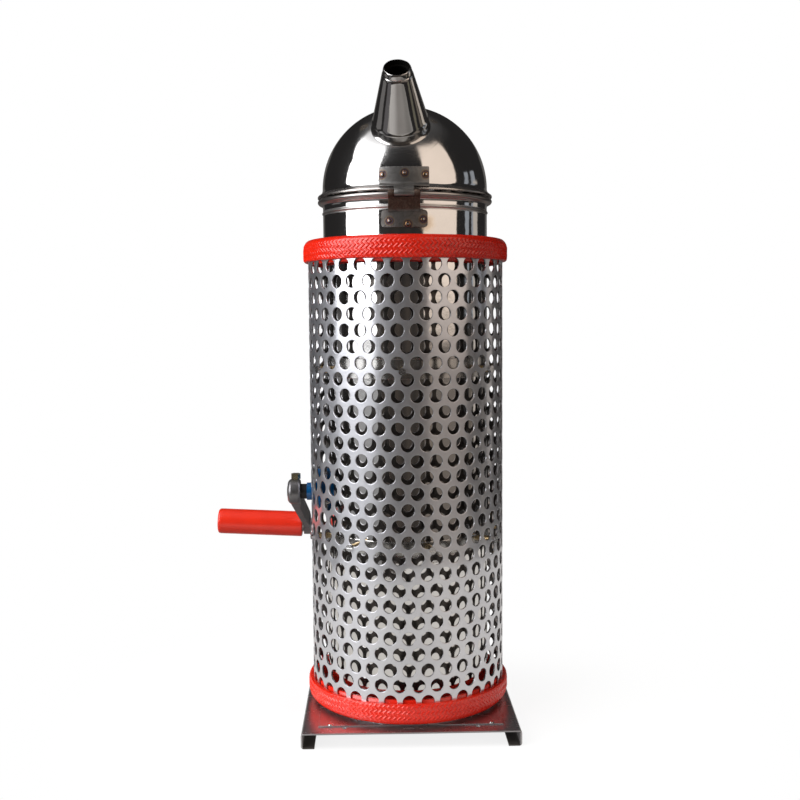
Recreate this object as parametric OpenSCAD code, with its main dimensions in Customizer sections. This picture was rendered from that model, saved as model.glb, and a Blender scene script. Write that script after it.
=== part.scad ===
// Hand-cranked bee smoker: a stack of three steel cans inside a perforated
// guard cage, with a domed lid, a spout, and a geared blower turned by a crank.
// +Z up, front (spout side) is -Y, the crank comes out on the -X side.
// Every height below counts from the ground. The finished part is placed with its
// origin at the centre of the base's top face, where the mounting holes open.
// Millimetres.

/* [Guard cage] */
// Outside diameter of the rolled perforated sheet
cage_od = 153; // [150:0.5:156]
// Sheet thickness of the cage
cage_t = 1.5; // [1:0.1:2]
// Diameter of the punched holes
hole_d = 10; // [6:0.5:10.5]
// Holes in one row around the cage
holes_round = 34; // [24:1:34]
// Vertical distance between rows
row_pitch = 12; // [12:0.1:12.5]
// Rows of holes
hole_rows = 29; // [10:1:29]
// Height of the centre of the topmost row
top_row_z = 368.2; // [366:0.1:369]
// Lower edge of the cage sheet
cage_z0 = 16.5; // [16:0.1:18]
// Upper edge of the cage sheet
cage_z1 = 376; // [374:0.1:377]

/* [Edge trims] */
// Outside radius of the red edge trims
trim_r = 80.15; // [79:0.05:81]
// Height of the bottom trim's outer leg
trim_low_h = 16.2; // [13:0.1:18]
// Height of the top trim's outer leg
trim_top_h = 16.9; // [13:0.1:18]

/* [Cans] */
// Outside radius of the stacked cans
can_r = 64.3; // [64:0.05:64.4]
// Sheet thickness of cans and lid
can_t = 0.8; // [0.6:0.1:0.8]
// Height where the lower can ends and the fan can starts
fan_z = 143; // [142.9:0.1:143.1]
// Height where the fan can ends and the fire can starts
fire_z = 282; // [281.9:0.1:282.1]
// Top edge of the fire can
can_top_z = 408.8; // [408.7:0.05:408.9]

/* [Base] */
// Side length of the square base plate
base_w = 164; // [160:1:170]
// Height of the base's top face above the ground
base_h = 11.6; // [11.5:0.1:11.7]
// Sheet thickness of the base
base_t = 1.2; // [1:0.1:1.2]

/* [Lid and spout] */
// Outside radius of the dome
dome_r = 64.4; // [64.2:0.05:64.5]
// Height of the dome's centre
dome_z = 416.5; // [416.4:0.05:416.6]
// Tilt of the spout from vertical towards the front
spout_tilt = 47; // [44:0.5:50]
// Spout radius where it meets the dome
spout_r0 = 21.5; // [18:0.5:22]
// Spout radius at the mouth
spout_r1 = 8.5; // [7:0.5:11]
// Length of the spout
spout_len = 51.5; // [45:0.5:56]
// Turn of the lid and hinge about the vertical axis
head_turn = -2; // [-8:0.5:8]
// Direction of the spout, degrees off the front
spout_turn = -5; // [-8:0.5:8]

/* [Crank] */
// Height of the crank shaft
crank_z = 179; // [179:0.1:179.2]
// Distance from the shaft to the grip's axis
crank_throw = 46; // [44:0.5:50]
// Rest angle of the crank arm, measured up from +Y
crank_rest = -45.5; // [-60:0.5:-20]
// Upward tilt of the grip's outer end
grip_tilt = 2.9; // [0:0.1:4]
// Outside radius of the grip
grip_r = 10.3; // [9:0.1:11]
// Length of the grip
grip_len = 69.7; // [60:0.1:75]

/* [Hidden] */

// Colours shared by several nodes
bright_steel = [0.8, 0.8, 0.82];
lid_steel = [0.82, 0.82, 0.84];
base_screw_steel = [0.75, 0.75, 0.76];
fan_steel = [0.75, 0.75, 0.77];
pin_steel = [0.7, 0.7, 0.72];
gear_steel = [0.7, 0.7, 0.7];
rivet_steel = [0.7, 0.68, 0.62];
brass = [0.78, 0.6, 0.3];
case_blue = [0.05, 0.33, 0.62];
trim_red = [0.88, 0.16, 0.09];

// Radii of the nested shells
cage_outer = cage_od / 2;
cage_inner = cage_outer - cage_t;
can_inner = can_r - can_t;
band_inner = can_r + 0.05;
band_outer = band_inner + 1.2;
skirt_outer = can_inner - 0.1;
skirt_inner = skirt_outer - 1.1;

// ---------------------------------------------------------------- helpers
module at_z(z) translate([0, 0, z]) children();

// Rod along X
module rod_x(from, to, radius, facets = 96)
  translate([from, 0, 0]) rotate([0, 90, 0]) cylinder(r = radius, h = to - from, $fn = facets);

// Rod along -Y, between two distances from the Z axis
module outward(from, to, radius, facets = 32)
  translate([0, -from, 0]) rotate([90, 0, 0]) cylinder(r = radius, h = to - from, $fn = facets);

module tube(outer, inner, height, facets = 180) difference() {
  cylinder(r = outer, h = height, $fn = facets);
  at_z(-1) cylinder(r = inner, h = height + 2, $fn = facets);
}

// Sleeve along X at height z
module bush(from, to, outer, inner, z) at_z(z) difference() {
  rod_x(from, to, outer);
  rod_x(from - 1, to + 1, inner);
}

// Solid turned about X; profile points are [radius, distance from start]
module turned_x(start, profile, facets)
  translate([start, 0, 0]) rotate([0, 90, 0]) rotate_extrude($fn = facets) polygon(profile);

// Turns a 2D shape drawn in (Y, Z) into a solid between two X positions
module yz_slab(from, to)
  translate([from, 0, 0]) rotate([90, 0, 90]) linear_extrude(height = to - from) children();

// Screwdriver slot across Y
module slot_x(from, to) translate([from, -3, -0.35]) cube([to - from, 6, 0.7]);

// Copies at angles round the X axis, measured up from +Y, without turning them
module on_circle(radius, angles) for (a = angles)
  translate([0, radius * cos(a), radius * sin(a)]) children();

// Copies at [azimuth, height] places; azimuth 0 is the front, positive towards +X
module at_places(places) for (place = places) rotate([0, 0, place[0]]) at_z(place[1]) children();

// Cutter through everything between the cans' inside and the cage's outside
module side_hole(radius, facets = 32) outward(50, 80, radius, facets);

function shifted(points, offset) = [for (point = points) point + offset];

// ---------------------------------------------------------------- base
doubler_t = 0.8;
doubler_w = 139;
base_screw_circle_r = 45;
flange_w = 10;
plate_bottom = base_h - base_t;
doubler_top = base_h + doubler_t;

module at_base_screws() for (a = [45:90:315])
  rotate([0, 0, a]) translate([base_screw_circle_r, 0, 0]) children();
module at_base_rivets() for (x = [-60.6, 60.6], y = [-67, 67]) translate([x, y, 0]) children();
module base_hole(radius) cylinder(r = radius, h = 30, $fn = 32);
module doubler_holes() {
  at_base_rivets() base_hole(1.3);
  at_base_screws() base_hole(2.1);
}

// Flat plate with sides folded down and inwards at -X and +X
module base_plate() color([0.62, 0.62, 0.63]) difference() {
  union() {
    translate([-base_w / 2, -base_w / 2, plate_bottom]) cube([base_w, base_w, base_t]);
    for (side = [0, 1]) mirror([side, 0, 0]) {
      translate([base_w / 2 - base_t, -base_w / 2, 0]) cube([base_t, base_w, base_h]);
      translate([base_w / 2 - flange_w, -base_w / 2, 0]) cube([flange_w, base_w, base_t]);
    }
  }
  for (x = [-50, 50], y = [-72, 72]) translate([x, y, 0]) base_hole(1.6);
  doubler_holes();
}
module base_doubler() color([0.66, 0.66, 0.67]) difference() {
  translate([-doubler_w / 2, -doubler_w / 2, base_h]) cube([doubler_w, doubler_w, doubler_t]);
  doubler_holes();
}
module base_rivets() color([0.8, 0.8, 0.8]) at_base_rivets() {
  at_z(plate_bottom - 0.6) cylinder(r = 1.25, h = 2.6, $fn = 32);
  at_z(doubler_top) cylinder(r1 = 2.2, r2 = 1.5, h = 0.8, $fn = 32);
  at_z(plate_bottom - 0.8) cylinder(r = 2, h = 0.8, $fn = 32);
}
module base_screws() color(base_screw_steel) at_base_screws() difference() {
  union() {
    at_z(5) cylinder(r = 2, h = base_h - 5 + 1.7, $fn = 48);
    at_z(base_h + 1.65) cylinder(r = 3.8, h = 2.4, $fn = 48);
  }
  translate([-3, -0.5, base_h + 3]) cube([6, 1, 3]);
}
module base_nuts() color(base_screw_steel)
  at_base_screws() at_z(plate_bottom - 3.05) difference() {
    cylinder(r = 4, h = 3, $fn = 6);
    at_z(-1) cylinder(r = 2.03, h = 5, $fn = 48);
  }

// ---------------------------------------------------------------- cans
pitch_deg = 360 / holes_round;
hole_azimuth = -1;                            // a hole in the even rows
web_azimuth = hole_azimuth - pitch_deg / 4;   // a web midway between two rows
screw_hole_r = 1.35;

// Screws sit on webs, counted in half pitches round the cage
function web_places(webs, z) = [for (web = webs) [web_azimuth + web * pitch_deg / 2, z]];
upper_screws = web_places([0, 11, 23, 34, 45, 57], 278.2);
lower_screws = web_places([-6, 3, 12, 20, 28, 37, 45, 54], 146.2);
all_screws = concat(upper_screws, lower_screws);

lower_can_z = doubler_top + 0.02;
inlet_places = [for (azimuth = [120:24:240]) [azimuth, 30]];
grate_hole_r = 3.5;
grate_pitch = 12.5;

// Wall of the fire can with a raised bead and a curled rim: [radius - can_r, height]
fire_can_profile = [
  [-can_t, fire_z + 0.05], [0, fire_z + 0.05], [0, 397.4], [0.6, 397.9], [0.6, 398.9],
  [0, 399.4], [0, 402.9], [0.3, 403.7], [1.2, 404.5], [2.6, 405.1], [3.5, 405.8],
  [3.95, 406.8], [3.8, 407.8], [3.2, can_top_z - 0.3], [2.4, can_top_z],
  [1.6, can_top_z - 0.3], [1.3, 407.6], [1.2, 406.8], [0.4, 405.9], [-can_t, 404.9]];

module screw_holes(places) at_places(places) side_hole(screw_hole_r);
module band(z, height, screws) difference() {
  at_z(z) tube(band_outer, band_inner, height);
  screw_holes(screws);
}

module lower_can() color(bright_steel) difference() {
  at_z(lower_can_z) cylinder(r = can_r, h = fan_z - 0.1 - lower_can_z, $fn = 180);
  at_z(lower_can_z + 0.8) cylinder(r = can_inner, h = 200, $fn = 180);
  at_base_screws() base_hole(2.1);
  // air inlets round the back, low down
  at_places(inlet_places) side_hole(6, 48);
}
module partition_pan() color(pin_steel) difference() {
  at_z(142.2) cylinder(r = skirt_outer, h = 7.8, $fn = 180);
  at_z(143) cylinder(r = skirt_inner, h = 20, $fn = 180);
  at_z(130) cylinder(r = 22, h = 30, $fn = 96);
  screw_holes(lower_screws);
}
module lower_band() color([0.85, 0.85, 0.86]) band(140, 10, lower_screws);
module fan_can() color(bright_steel) difference() {
  at_z(fan_z) tube(can_r, can_inner, fire_z - fan_z);
  screw_holes(all_screws);
  at_z(crank_z) rod_x(-80, -50, 9.1);
  at_posts() rod_x(-80, -50, 1.7, 32);
}
module upper_band() color([0.85, 0.85, 0.86]) band(272, 15, upper_screws);
// Upturned pan with a centre hole and four rings of holes
module fire_grate() color([0.6, 0.6, 0.62]) difference() {
  at_z(272.4) cylinder(r = skirt_outer, h = 16.8, $fn = 180);
  at_z(260) cylinder(r = skirt_inner, h = 28.4, $fn = 180);
  screw_holes(upper_screws);
  at_z(280) cylinder(r = grate_hole_r, h = 20, $fn = 32);
  for (ring = [1:4], i = [0:6 * ring - 1])
    rotate([0, 0, i * 60 / ring]) translate([ring * grate_pitch, 0, 280])
      cylinder(r = grate_hole_r, h = 20, $fn = 32);
}
module fire_can() color(lid_steel) difference() {
  rotate_extrude($fn = 180) polygon(shifted(fire_can_profile, [can_r, 0]));
  head_frame() rivet_holes(lower_rivets_at);
}

// ---------------------------------------------------------------- guard cage
trim_gap = 1.45;   // from the sheet's edge to the outside of the trim's bend

// Odd rows are shifted by half a pitch
hole_places = [for (row = [0:hole_rows - 1], i = [0:holes_round - 1])
  [hole_azimuth + (i - 0.5 * (row % 2)) * pitch_deg, top_row_z - row_pitch * row]];

module cage_hole(radius) outward(70, 82, radius, 24);
module guard_cage() color([0.75, 0.76, 0.78]) difference() {
  at_z(cage_z0) tube(cage_outer, cage_inner, cage_z1 - cage_z0);
  at_places(hole_places) cage_hole(hole_d / 2);
  at_places(all_screws) cage_hole(screw_hole_r);
  at_z(crank_z) rod_x(-82, -70, 9);
}

// U that grips both faces of the sheet edge: [radius, height above the bend]
function trim_profile(leg_h) = [
  [cage_outer + 0.05, 1.4], [cage_outer + 0.05, leg_h],
  [trim_r - 1.2, leg_h], [trim_r - 0.5, leg_h - 0.6], [trim_r - 0.15, leg_h - 1.8],
  [trim_r, leg_h - 4], [trim_r, 8], [trim_r - 0.15, 6], [trim_r - 0.6, 4],
  [trim_r - 1.4, 2.4], [trim_r - 2.4, 1.2], [trim_r - 3.5, 0.4], [trim_r - 4.6, 0],
  [cage_inner - 1.2, 0], [cage_inner - 2, 0.4], [cage_inner - 2.5, 1.4],
  [cage_inner - 2.5, leg_h + 2], [cage_inner - 0.05, leg_h + 2], [cage_inner - 0.05, 1.4]];
module trim(leg_h) rotate_extrude($fn = 180) polygon(trim_profile(leg_h));
module bottom_trim() color(trim_red) at_z(cage_z0 - trim_gap) trim(trim_low_h);
module top_trim() color(trim_red) at_z(cage_z1 + trim_gap) mirror([0, 0, 1]) trim(trim_top_h);

module spacer_bushes() color(brass) at_places(all_screws) difference() {
  outward(band_outer + 0.02, cage_inner - 0.07, 2.5);
  side_hole(screw_hole_r);
}
module cage_screws() color(bright_steel) at_places(all_screws) difference() {
  union() {
    outward(58.8, cage_outer + 0.3, 1.25);
    outward(cage_outer + 0.02, cage_outer + 1.8, 2.7);
  }
  translate([-3, -cage_outer - 3, -0.35]) cube([6, 2, 0.7]);
}
// The nuts' outer corners stop just short of the curved skirt
module cage_nuts() color(bright_steel) at_places(all_screws) difference() {
  outward(59.9, sqrt(skirt_inner * skirt_inner - 10) - 0.02, 3.1, 6);
  outward(50, 70, 1.28);
}

// ---------------------------------------------------------------- gears
// Gear train of module 1 with axes parallel to X
pressure_angle = 20;
dedendum = 1.25;
backlash = 0.06;      // taken off each flank, along the pitch circle
drive_teeth = 48;
idler_pinion_teeth = 12;
idler_gear_teeth = 30;
fan_pinion_teeth = 12;
idler_z = crank_z + (drive_teeth + idler_pinion_teeth) / 2;
fan_axis_z = idler_z + (idler_gear_teeth + fan_pinion_teeth) / 2;

// Shaft and bush radii; each bore adds its own clearance
crank_shaft_r = 4;
crank_bush_r = 5.5;
pin_r = 2.5;          // idler pin and fan shaft
fan_bush_r = 4;

function involute(angle) = tan(angle) * 180 / PI - angle;
// Half the angle a tooth takes up at a radius
function half_tooth(teeth, base_r, radius, slack) =
  90 / teeth - slack + involute(pressure_angle)
  - (radius > base_r ? involute(acos(base_r / radius)) : 0);
function gear_points(teeth, addendum, phase) =
  let (pitch_r = teeth / 2,
       base_r = pitch_r * cos(pressure_angle),
       tip_r = pitch_r + addendum,
       root_r = pitch_r - dedendum,
       slack = backlash / pitch_r * 180 / PI,
       start_r = max(base_r, root_r),
       radii = [for (k = [0:4]) start_r + (tip_r - start_r) * k / 4],
       flank = root_r < base_r ? concat([root_r], radii) : radii,
       halves = [for (r = flank) half_tooth(teeth, base_r, r, slack)])
  [for (i = [0:teeth - 1]) let (centre = phase + i * 360 / teeth)
    each concat(
      [for (j = [0:len(flank) - 1]) let (a = centre - halves[j]) flank[j] * [cos(a), sin(a)]],
      [for (j = [len(flank) - 1:-1:0]) let (a = centre + halves[j])
        flank[j] * [cos(a), sin(a)]])];
module spur(teeth, addendum, phase, from, to)
  yz_slab(from, to) polygon(gear_points(teeth, addendum, phase));

module drive_gear() color(gear_steel) at_z(crank_z) difference() {
  union() {
    spur(drive_teeth, 0.75, 90, -46, -40);
    rod_x(-46.8, -33, 8);
  }
  rod_x(-60, -20, crank_shaft_r + 0.02);
  on_circle(15.5, [0:60:300]) rod_x(-60, -30, 4.5, 48);
}
module idler_gear() color(gear_steel) at_z(idler_z) difference() {
  union() {
    spur(idler_pinion_teeth, 1, 15, -46.5, -38);
    spur(idler_gear_teeth, 0.75, 90, -38, -32);
    rod_x(-46.8, -31.6, 4.7);
  }
  rod_x(-60, -20, pin_r + 0.06, 48);
}
module fan_pinion() color(brass) at_z(fan_axis_z) difference() {
  spur(fan_pinion_teeth, 1, 15, -38.5, -31.5);
  rod_x(-60, -20, pin_r + 0.01, 48);
}

// ---------------------------------------------------------------- blower
// Screw ears of the case, [y, z]
ears = [[27.5, crank_z - 13], [-27.5, crank_z - 13], [0, fan_axis_z + 13.5]];
// Room round each gear, [axis height, radius]
case_lobes = [[crank_z, 26], [idler_z, 17], [fan_axis_z, 9]];

module at_ears() for (ear = ears) translate([0, ear[0], ear[1]]) children();
// Three posts join the case to the can wall and the crank housing
module at_posts() at_z(crank_z) on_circle(14, [90, 210, 330]) children();
module case_room(wall = 0) for (lobe = case_lobes)
  translate([0, lobe[0]]) circle(r = lobe[1] + wall, $fn = 96);
module case_outline() {
  case_room(wall = 2.5);
  for (ear = ears) translate(ear) circle(r = 4.5, $fn = 48);
}

module gear_case() color(case_blue) difference() {
  union() {
    yz_slab(-50, -30.2) case_outline();
    at_posts() rod_x(-60.5, -49, 4, 48);
  }
  yz_slab(-48, -30) case_room();
  at_z(crank_z) rod_x(-52, -45, crank_shaft_r + 0.4);
  at_z(idler_z) rod_x(-52, -45, pin_r + 0.02, 48);
  at_z(fan_axis_z) rod_x(-52, -45, fan_bush_r + 0.02, 48);
  at_ears() rod_x(-44, -20, 1.27, 32);
  at_posts() rod_x(-70, -53, 1.62, 32);
}
module gear_case_cover() color(case_blue) difference() {
  union() {
    yz_slab(-30.15, -28.1) case_outline();
    at_z(crank_z) rod_x(-29, -22, 8.5);
    at_z(fan_axis_z) rod_x(-29, -25, 6.5);
  }
  at_z(crank_z) rod_x(-40, -10, crank_bush_r + 0.02);
  at_z(idler_z) rod_x(-40, -20, pin_r + 0.02, 48);
  at_z(fan_axis_z) rod_x(-40, -10, fan_bush_r + 0.02, 48);
  at_ears() rod_x(-44, -20, 1.3, 32);
}
module case_screws() color(bright_steel) at_ears() difference() {
  union() {
    rod_x(-42, -28, 1.25, 32);
    rod_x(-28.08, -26.3, 2.7, 32);
  }
  slot_x(-27, -25);
}
// Outer flange, nose and sleeve round the crank shaft
module crank_housing() color(case_blue) difference() {
  at_z(crank_z) {
    rod_x(-71.5, -68.5, 18.5);
    rod_x(-80, -70, 7);
    rod_x(-69, -50.05, 9);
  }
  at_z(crank_z) rod_x(-90, -40, crank_bush_r + 0.02);
  at_posts() {
    rod_x(-80, -60, 1.7, 32);
    rod_x(-66, -40, 4.1, 48);
  }
}
module housing_screws() color(bright_steel) at_posts() difference() {
  union() {
    rod_x(-72, -53.5, 1.6, 32);
    rod_x(-73, -71.52, 2.7, 32);
  }
  slot_x(-74, -72.4);
}
module outer_crank_bush() color(brass)
  bush(-79.9, -62, crank_bush_r, crank_shaft_r + 0.05, crank_z);
module inner_crank_bush() color(brass)
  bush(-30.1, -22.1, crank_bush_r, crank_shaft_r + 0.05, crank_z);
module fan_bushes() color(brass) for (span = [[-50, -47], [-31, -25.1]])
  bush(span[0], span[1], fan_bush_r, pin_r + 0.06, fan_axis_z);
module idler_pin() color(pin_steel) at_z(idler_z) rod_x(-49.9, -28.2, pin_r, 48);
module fan_shaft() color(pin_steel) at_z(fan_axis_z) rod_x(-49.9, 12, pin_r, 48);
// Hub, back disc, front ring and ten straight blades between them
module fan_impeller() color(fan_steel) at_z(fan_axis_z) difference() {
  union() {
    rod_x(-22, 8, 6, 64);
    rod_x(-22, -20.8, 34);
    difference() {
      rod_x(3.5, 4.7, 34);
      rod_x(2, 6, 24);
    }
    for (a = [0:36:324]) rotate([a, 0, 0]) translate([-21.5, 12, -0.5]) cube([25.5, 21.8, 1]);
  }
  rod_x(-40, 20, pin_r + 0.01, 48);
}
module fan_nut() color(fan_steel) at_z(fan_axis_z) difference() {
  rod_x(8.05, 11.05, 4.6, 6);
  rod_x(0, 20, pin_r + 0.01, 48);
}

// ---------------------------------------------------------------- crank
pivot_y = crank_throw * cos(crank_rest);
pivot_z = crank_z + crank_throw * sin(crank_rest);
grip_x1 = -86.2;
grip_x0 = grip_x1 - grip_len;
arm_end_x = -85;       // outer face of the arm's end boss
set_screw_x = -88.8;

// Hub with chamfered rims: [radius, distance from its outer face]
hub_profile = [[0, 0], [7.6, 0], [9.4, 1.3], [10, 2.6], [10, 8.6], [9.2, 10], [0, 10]];
// Sloping web of the arm seen edge on: [x, distance from the shaft]
web_profile = [[-92.7, -1], [-92.7, 7], [-84.8, 37], [-84.8, crank_throw + 10],
  [-79.7, crank_throw + 10], [-79.7, 39], [-85.6, 12], [-85.6, -1]];
// Grip and its end cap: [radius, distance from the grip's outer end]
grip_profile = [[0, 0], [grip_r - 2, 0], [grip_r - 0.9, 0.4], [grip_r - 0.2, 1.3],
  [grip_r, 2.6], [grip_r, grip_len - 1.2], [grip_r - 0.3, grip_len - 0.3],
  [grip_r - 0.9, grip_len], [0, grip_len]];
cap_profile = [[0, -0.6], [3, -0.45], [5.2, -0.1], [6.45, 0.5], [6.45, 2.8], [0, 2.8]];

// The grip and its spindle turn about an axis that rises slightly outwards
module grip_frame() translate([arm_end_x, pivot_y, pivot_z])
  rotate([0, grip_tilt, 0]) translate([-arm_end_x, 0, 0]) children();
// Local +Y runs along the arm
module arm_frame() at_z(crank_z) rotate([crank_rest, 0, 0]) children();

module crank_shaft() color([0.6, 0.6, 0.62]) at_z(crank_z) rod_x(-95.8, -22.4, crank_shaft_r);
module shaft_collar() color([0.06, 0.06, 0.06])
  bush(-85.1, -80.1, 6, crank_shaft_r + 0.03, crank_z);
module arm_face() {
  circle(r = 9, $fn = 96);
  translate([crank_throw, 0]) circle(r = 7.9, $fn = 96);
  polygon([[0, -8.6], [crank_throw, -7.7], [crank_throw, 7.7], [0, 8.6]]);
}
module crank_arm() color([0.5, 0.49, 0.5]) difference() {
  union() {
    at_z(crank_z) turned_x(-95.2, hub_profile, 96);
    arm_frame() {
      intersection() {
        linear_extrude(height = 40, center = true) polygon(web_profile);
        yz_slab(-100, -70) arm_face();
      }
      translate([0, crank_throw, 0]) rod_x(-85, -79.5, 8.4);
    }
  }
  at_z(crank_z) rod_x(-110, -60, crank_shaft_r + 0.02);
  translate([set_screw_x, 0, crank_z]) cylinder(r = 2.02, h = 20, $fn = 48);
  grip_frame() rod_x(-110, -60, 4.02);
}
module crank_set_screw() color([0.75, 0.68, 0.4]) translate([set_screw_x, 0, crank_z]) {
  at_z(4.05) cylinder(r = 2, h = 7, $fn = 48);
  at_z(10.15) cylinder(r = 3.7, h = 4.4, $fn = 6);
}
module grip_spindle() color([0.65, 0.65, 0.67]) grip_frame() {
  rod_x(-153.1, -79.1, 4);
  rod_x(-79.2, -78, 5.4);
  rod_x(grip_x1 + 0.3, -85.36, 6.4);
  rod_x(grip_x0 + 4.2, grip_x0 + 6, 6);
}
module grip() color([0.9, 0.15, 0.08]) grip_frame() difference() {
  turned_x(grip_x0, grip_profile, 128);
  rod_x(grip_x0 - 5, -60, 4.05);
  rod_x(grip_x0 - 5, grip_x0 + 6.2, 6.5);
}
module grip_end_cap() color([0.85, 0.13, 0.07]) grip_frame() turned_x(grip_x0, cap_profile, 96);

// ---------------------------------------------------------------- lid
// Flared lip below the dome: [radius - dome_r, height - dome_z]
lip_profile = [
  [-can_t, 0], [0, 0], [0.15, -1], [0.6, -2.2], [1.5, -3.3], [2.7, -4.2], [3.6, -4.8],
  [3.9, -5.4], [3.9, -6.6], [3.1, -6.6], [3, -5.5], [2.1, -4.95], [0.8, -3.9],
  [-0.2, -2.8], [-0.7, -1.4]];

// Distances along the spout's axis, from the dome's centre
spout_base = sqrt(dome_r * dome_r - spout_r0 * spout_r0);
cone_lift = 6.5;
cone_base = spout_base + cone_lift;   // lower edge of the cone, slipped over the collar
cone_len = spout_len - cone_lift;
spout_slope = (spout_r0 - spout_r1) / spout_len;
spout_wall = 0.8;

// Flared collar: [radius - spout_r0, distance along the axis - spout_base]
collar_profile = [
  [0.9, -3], [0.3, 0], [-0.7, 1.6], [-1.6, 3.6],
  [-6.5 * spout_slope - 0.95, 6.3], [-9.5 * spout_slope - 0.95, 9.5],
  [-9.5 * spout_slope - 1.75, 9.5], [-6.5 * spout_slope - 1.75, 6.3],
  [-2.4, 3.6], [-1.5, 1.6], [-0.6, 0], [-0.1, -3]];

module spout_frame() at_z(dome_z) rotate([spout_tilt, 0, spout_turn]) children();
// Clears everything inside the dome's outer surface
module dome_cutter() at_z(dome_z) sphere(r = dome_r + 0.03, $fn = 180);

module lid_dome() color(lid_steel) difference() {
  union() {
    intersection() {
      at_z(dome_z) difference() {
        sphere(r = dome_r, $fn = 180);
        sphere(r = dome_r - can_t, $fn = 180);
      }
      at_z(dome_z) cylinder(r = 100, h = 100, $fn = 64);
    }
    rotate_extrude($fn = 180) polygon(shifted(lip_profile, [dome_r, dome_z]));
  }
  spout_frame() cylinder(r = spout_r0 - 2.5, h = 90, $fn = 96);
  head_frame() rivet_holes(upper_rivets_at);
}
module spout_cone() color(lid_steel) spout_frame() {
  difference() {
    at_z(cone_base)
      cylinder(r1 = spout_r0 - cone_lift * spout_slope, r2 = spout_r1, h = cone_len, $fn = 128);
    at_z(cone_base - 1)
      cylinder(r1 = spout_r0 - (cone_lift - 1) * spout_slope - spout_wall,
               r2 = spout_r1 - spout_wall - spout_slope, h = cone_len + 2, $fn = 128);
  }
  // ring round the mouth
  at_z(spout_base + spout_len - 4) tube(spout_r1 + 1.1, spout_r1 - 0.4, 4, 128);
}
module spout_collar() color(lid_steel) difference() {
  spout_frame() rotate_extrude($fn = 128)
    polygon(shifted(collar_profile, [spout_r0, spout_base]));
  dome_cutter();
}

// ---------------------------------------------------------------- hinge
hinge_y = -71;
hinge_z = 407;
pintle_r = 1.5;
lower_knuckle_x = 11.75;   // outer ends of the lower leaf's two knuckles
upper_knuckle_x = 7.15;    // ends of the upper leaf's single knuckle
lower_leaf_r = band_inner + 1.2;

// Rivet places, [azimuth, height]
lower_rivets_at = [[-9.6, 387.6], [2.3, 385.2], [12.2, 388.6]];
upper_rivets_at = [[-14, 421], [0.4, 422], [14, 421]];

// Curved part of the upper leaf: [radius - dome_r, height]
upper_leaf_profile = [
  [-0.75, 426.8], [0.45, 426.8], [1.15, 421.5], [1.3, 416.9], [1.45, 415.4], [2.2, 414.3],
  [3.7, 413.4], [5.4, 413], [5.4, 411.9], [4.25, 411.9], [2.9, 412.4], [1.65, 413.3],
  [0.75, 414.4], [0.2, 415.7], [0.06, 416.8], [-0.1, 421.5]];
// Straight tongues from each leaf to its knuckles: [y, z]
lower_tongue = [[-64.8, 394], [-64.8, 396.8], [-68.45, 403.2], [-68.45, 406.3], [-71, 406.5],
  [-73, 405.8], [-70, 402.8], [-65.9, 395.2], [-65.5, 394]];
upper_tongue = [[-68.7, 412], [-68.7, 407.8], [-71, 406.5], [-73, 407.4], [-70.8, 409.8],
  [-69.75, 411], [-69.75, 412.7], [-68.7, 412.7]];

module head_frame() rotate([0, 0, head_turn]) children();
module at_hinge() translate([0, hinge_y, hinge_z]) children();
module knuckle(from, to) at_hinge() rod_x(from, to, 2.5, 64);
module rivet_holes(places) at_places(places) side_hole(1.3);
module rivets(places, leaf_r) at_places(places) {
  outward(can_inner - 1.4, leaf_r + 0.5, 1.25);
  outward(leaf_r + 0.05, leaf_r + 0.65, 1.9);
  outward(can_inner - 1.6, can_inner - 0.9, 1.8);
}
// Rounded rectangle, extended from the front to the Z axis
module lower_leaf_outline() {
  translate([-17, -90, 385.5]) cube([34, 90, 7.5]);
  translate([-14.5, -90, 380]) cube([29, 90, 20]);
  for (x = [-14.5, 14.5], z = [385.4, 393.1])
    translate([x, 0, z]) rotate([90, 0, 0]) cylinder(r = 2.5, h = 90, $fn = 48);
}

module hinge_lower_leaf() color([0.36, 0.27, 0.2]) head_frame() difference() {
  union() {
    intersection() {
      rotate_extrude($fn = 180) polygon([[band_inner, 382.9], [lower_leaf_r, 382.9],
        [lower_leaf_r, 395.6], [band_inner, 395.6]]);
      translate([-17, -90, 370]) cube([34, 90, 60]);
      union() lower_leaf_outline();
    }
    yz_slab(-lower_knuckle_x, lower_knuckle_x) polygon(lower_tongue);
    knuckle(-lower_knuckle_x, -7.35);
    knuckle(7.35, lower_knuckle_x);
  }
  at_hinge() rod_x(-7.35, 7.35, 2.8, 64);
  at_hinge() rod_x(-20, 20, pintle_r + 0.02, 48);
  rivet_holes(lower_rivets_at);
  cylinder(r = can_r + 0.02, h = 400, $fn = 180);
}
module hinge_upper_leaf() color([0.5, 0.49, 0.48]) head_frame() difference() {
  union() {
    intersection() {
      rotate_extrude($fn = 180) polygon(shifted(upper_leaf_profile, [dome_r, 0]));
      translate([-18.3, -90, 400]) cube([36.6, 90, 60]);
    }
    yz_slab(-upper_knuckle_x, upper_knuckle_x) polygon(upper_tongue);
    knuckle(-upper_knuckle_x, upper_knuckle_x);
  }
  at_hinge() rod_x(-20, 20, pintle_r + 0.06, 48);
  rivet_holes(upper_rivets_at);
  dome_cutter();
}
module hinge_pin() color(gear_steel) head_frame() at_hinge() rod_x(-12.2, 12.2, pintle_r, 48);
module hinge_lower_rivets() color(rivet_steel) head_frame() rivets(lower_rivets_at, lower_leaf_r);
module hinge_upper_rivets() color(rivet_steel) head_frame() rivets(upper_rivets_at, dome_r + 1.25);

// ---------------------------------------------------------------- nodes
module placed() at_z(-base_h) children();

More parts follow.
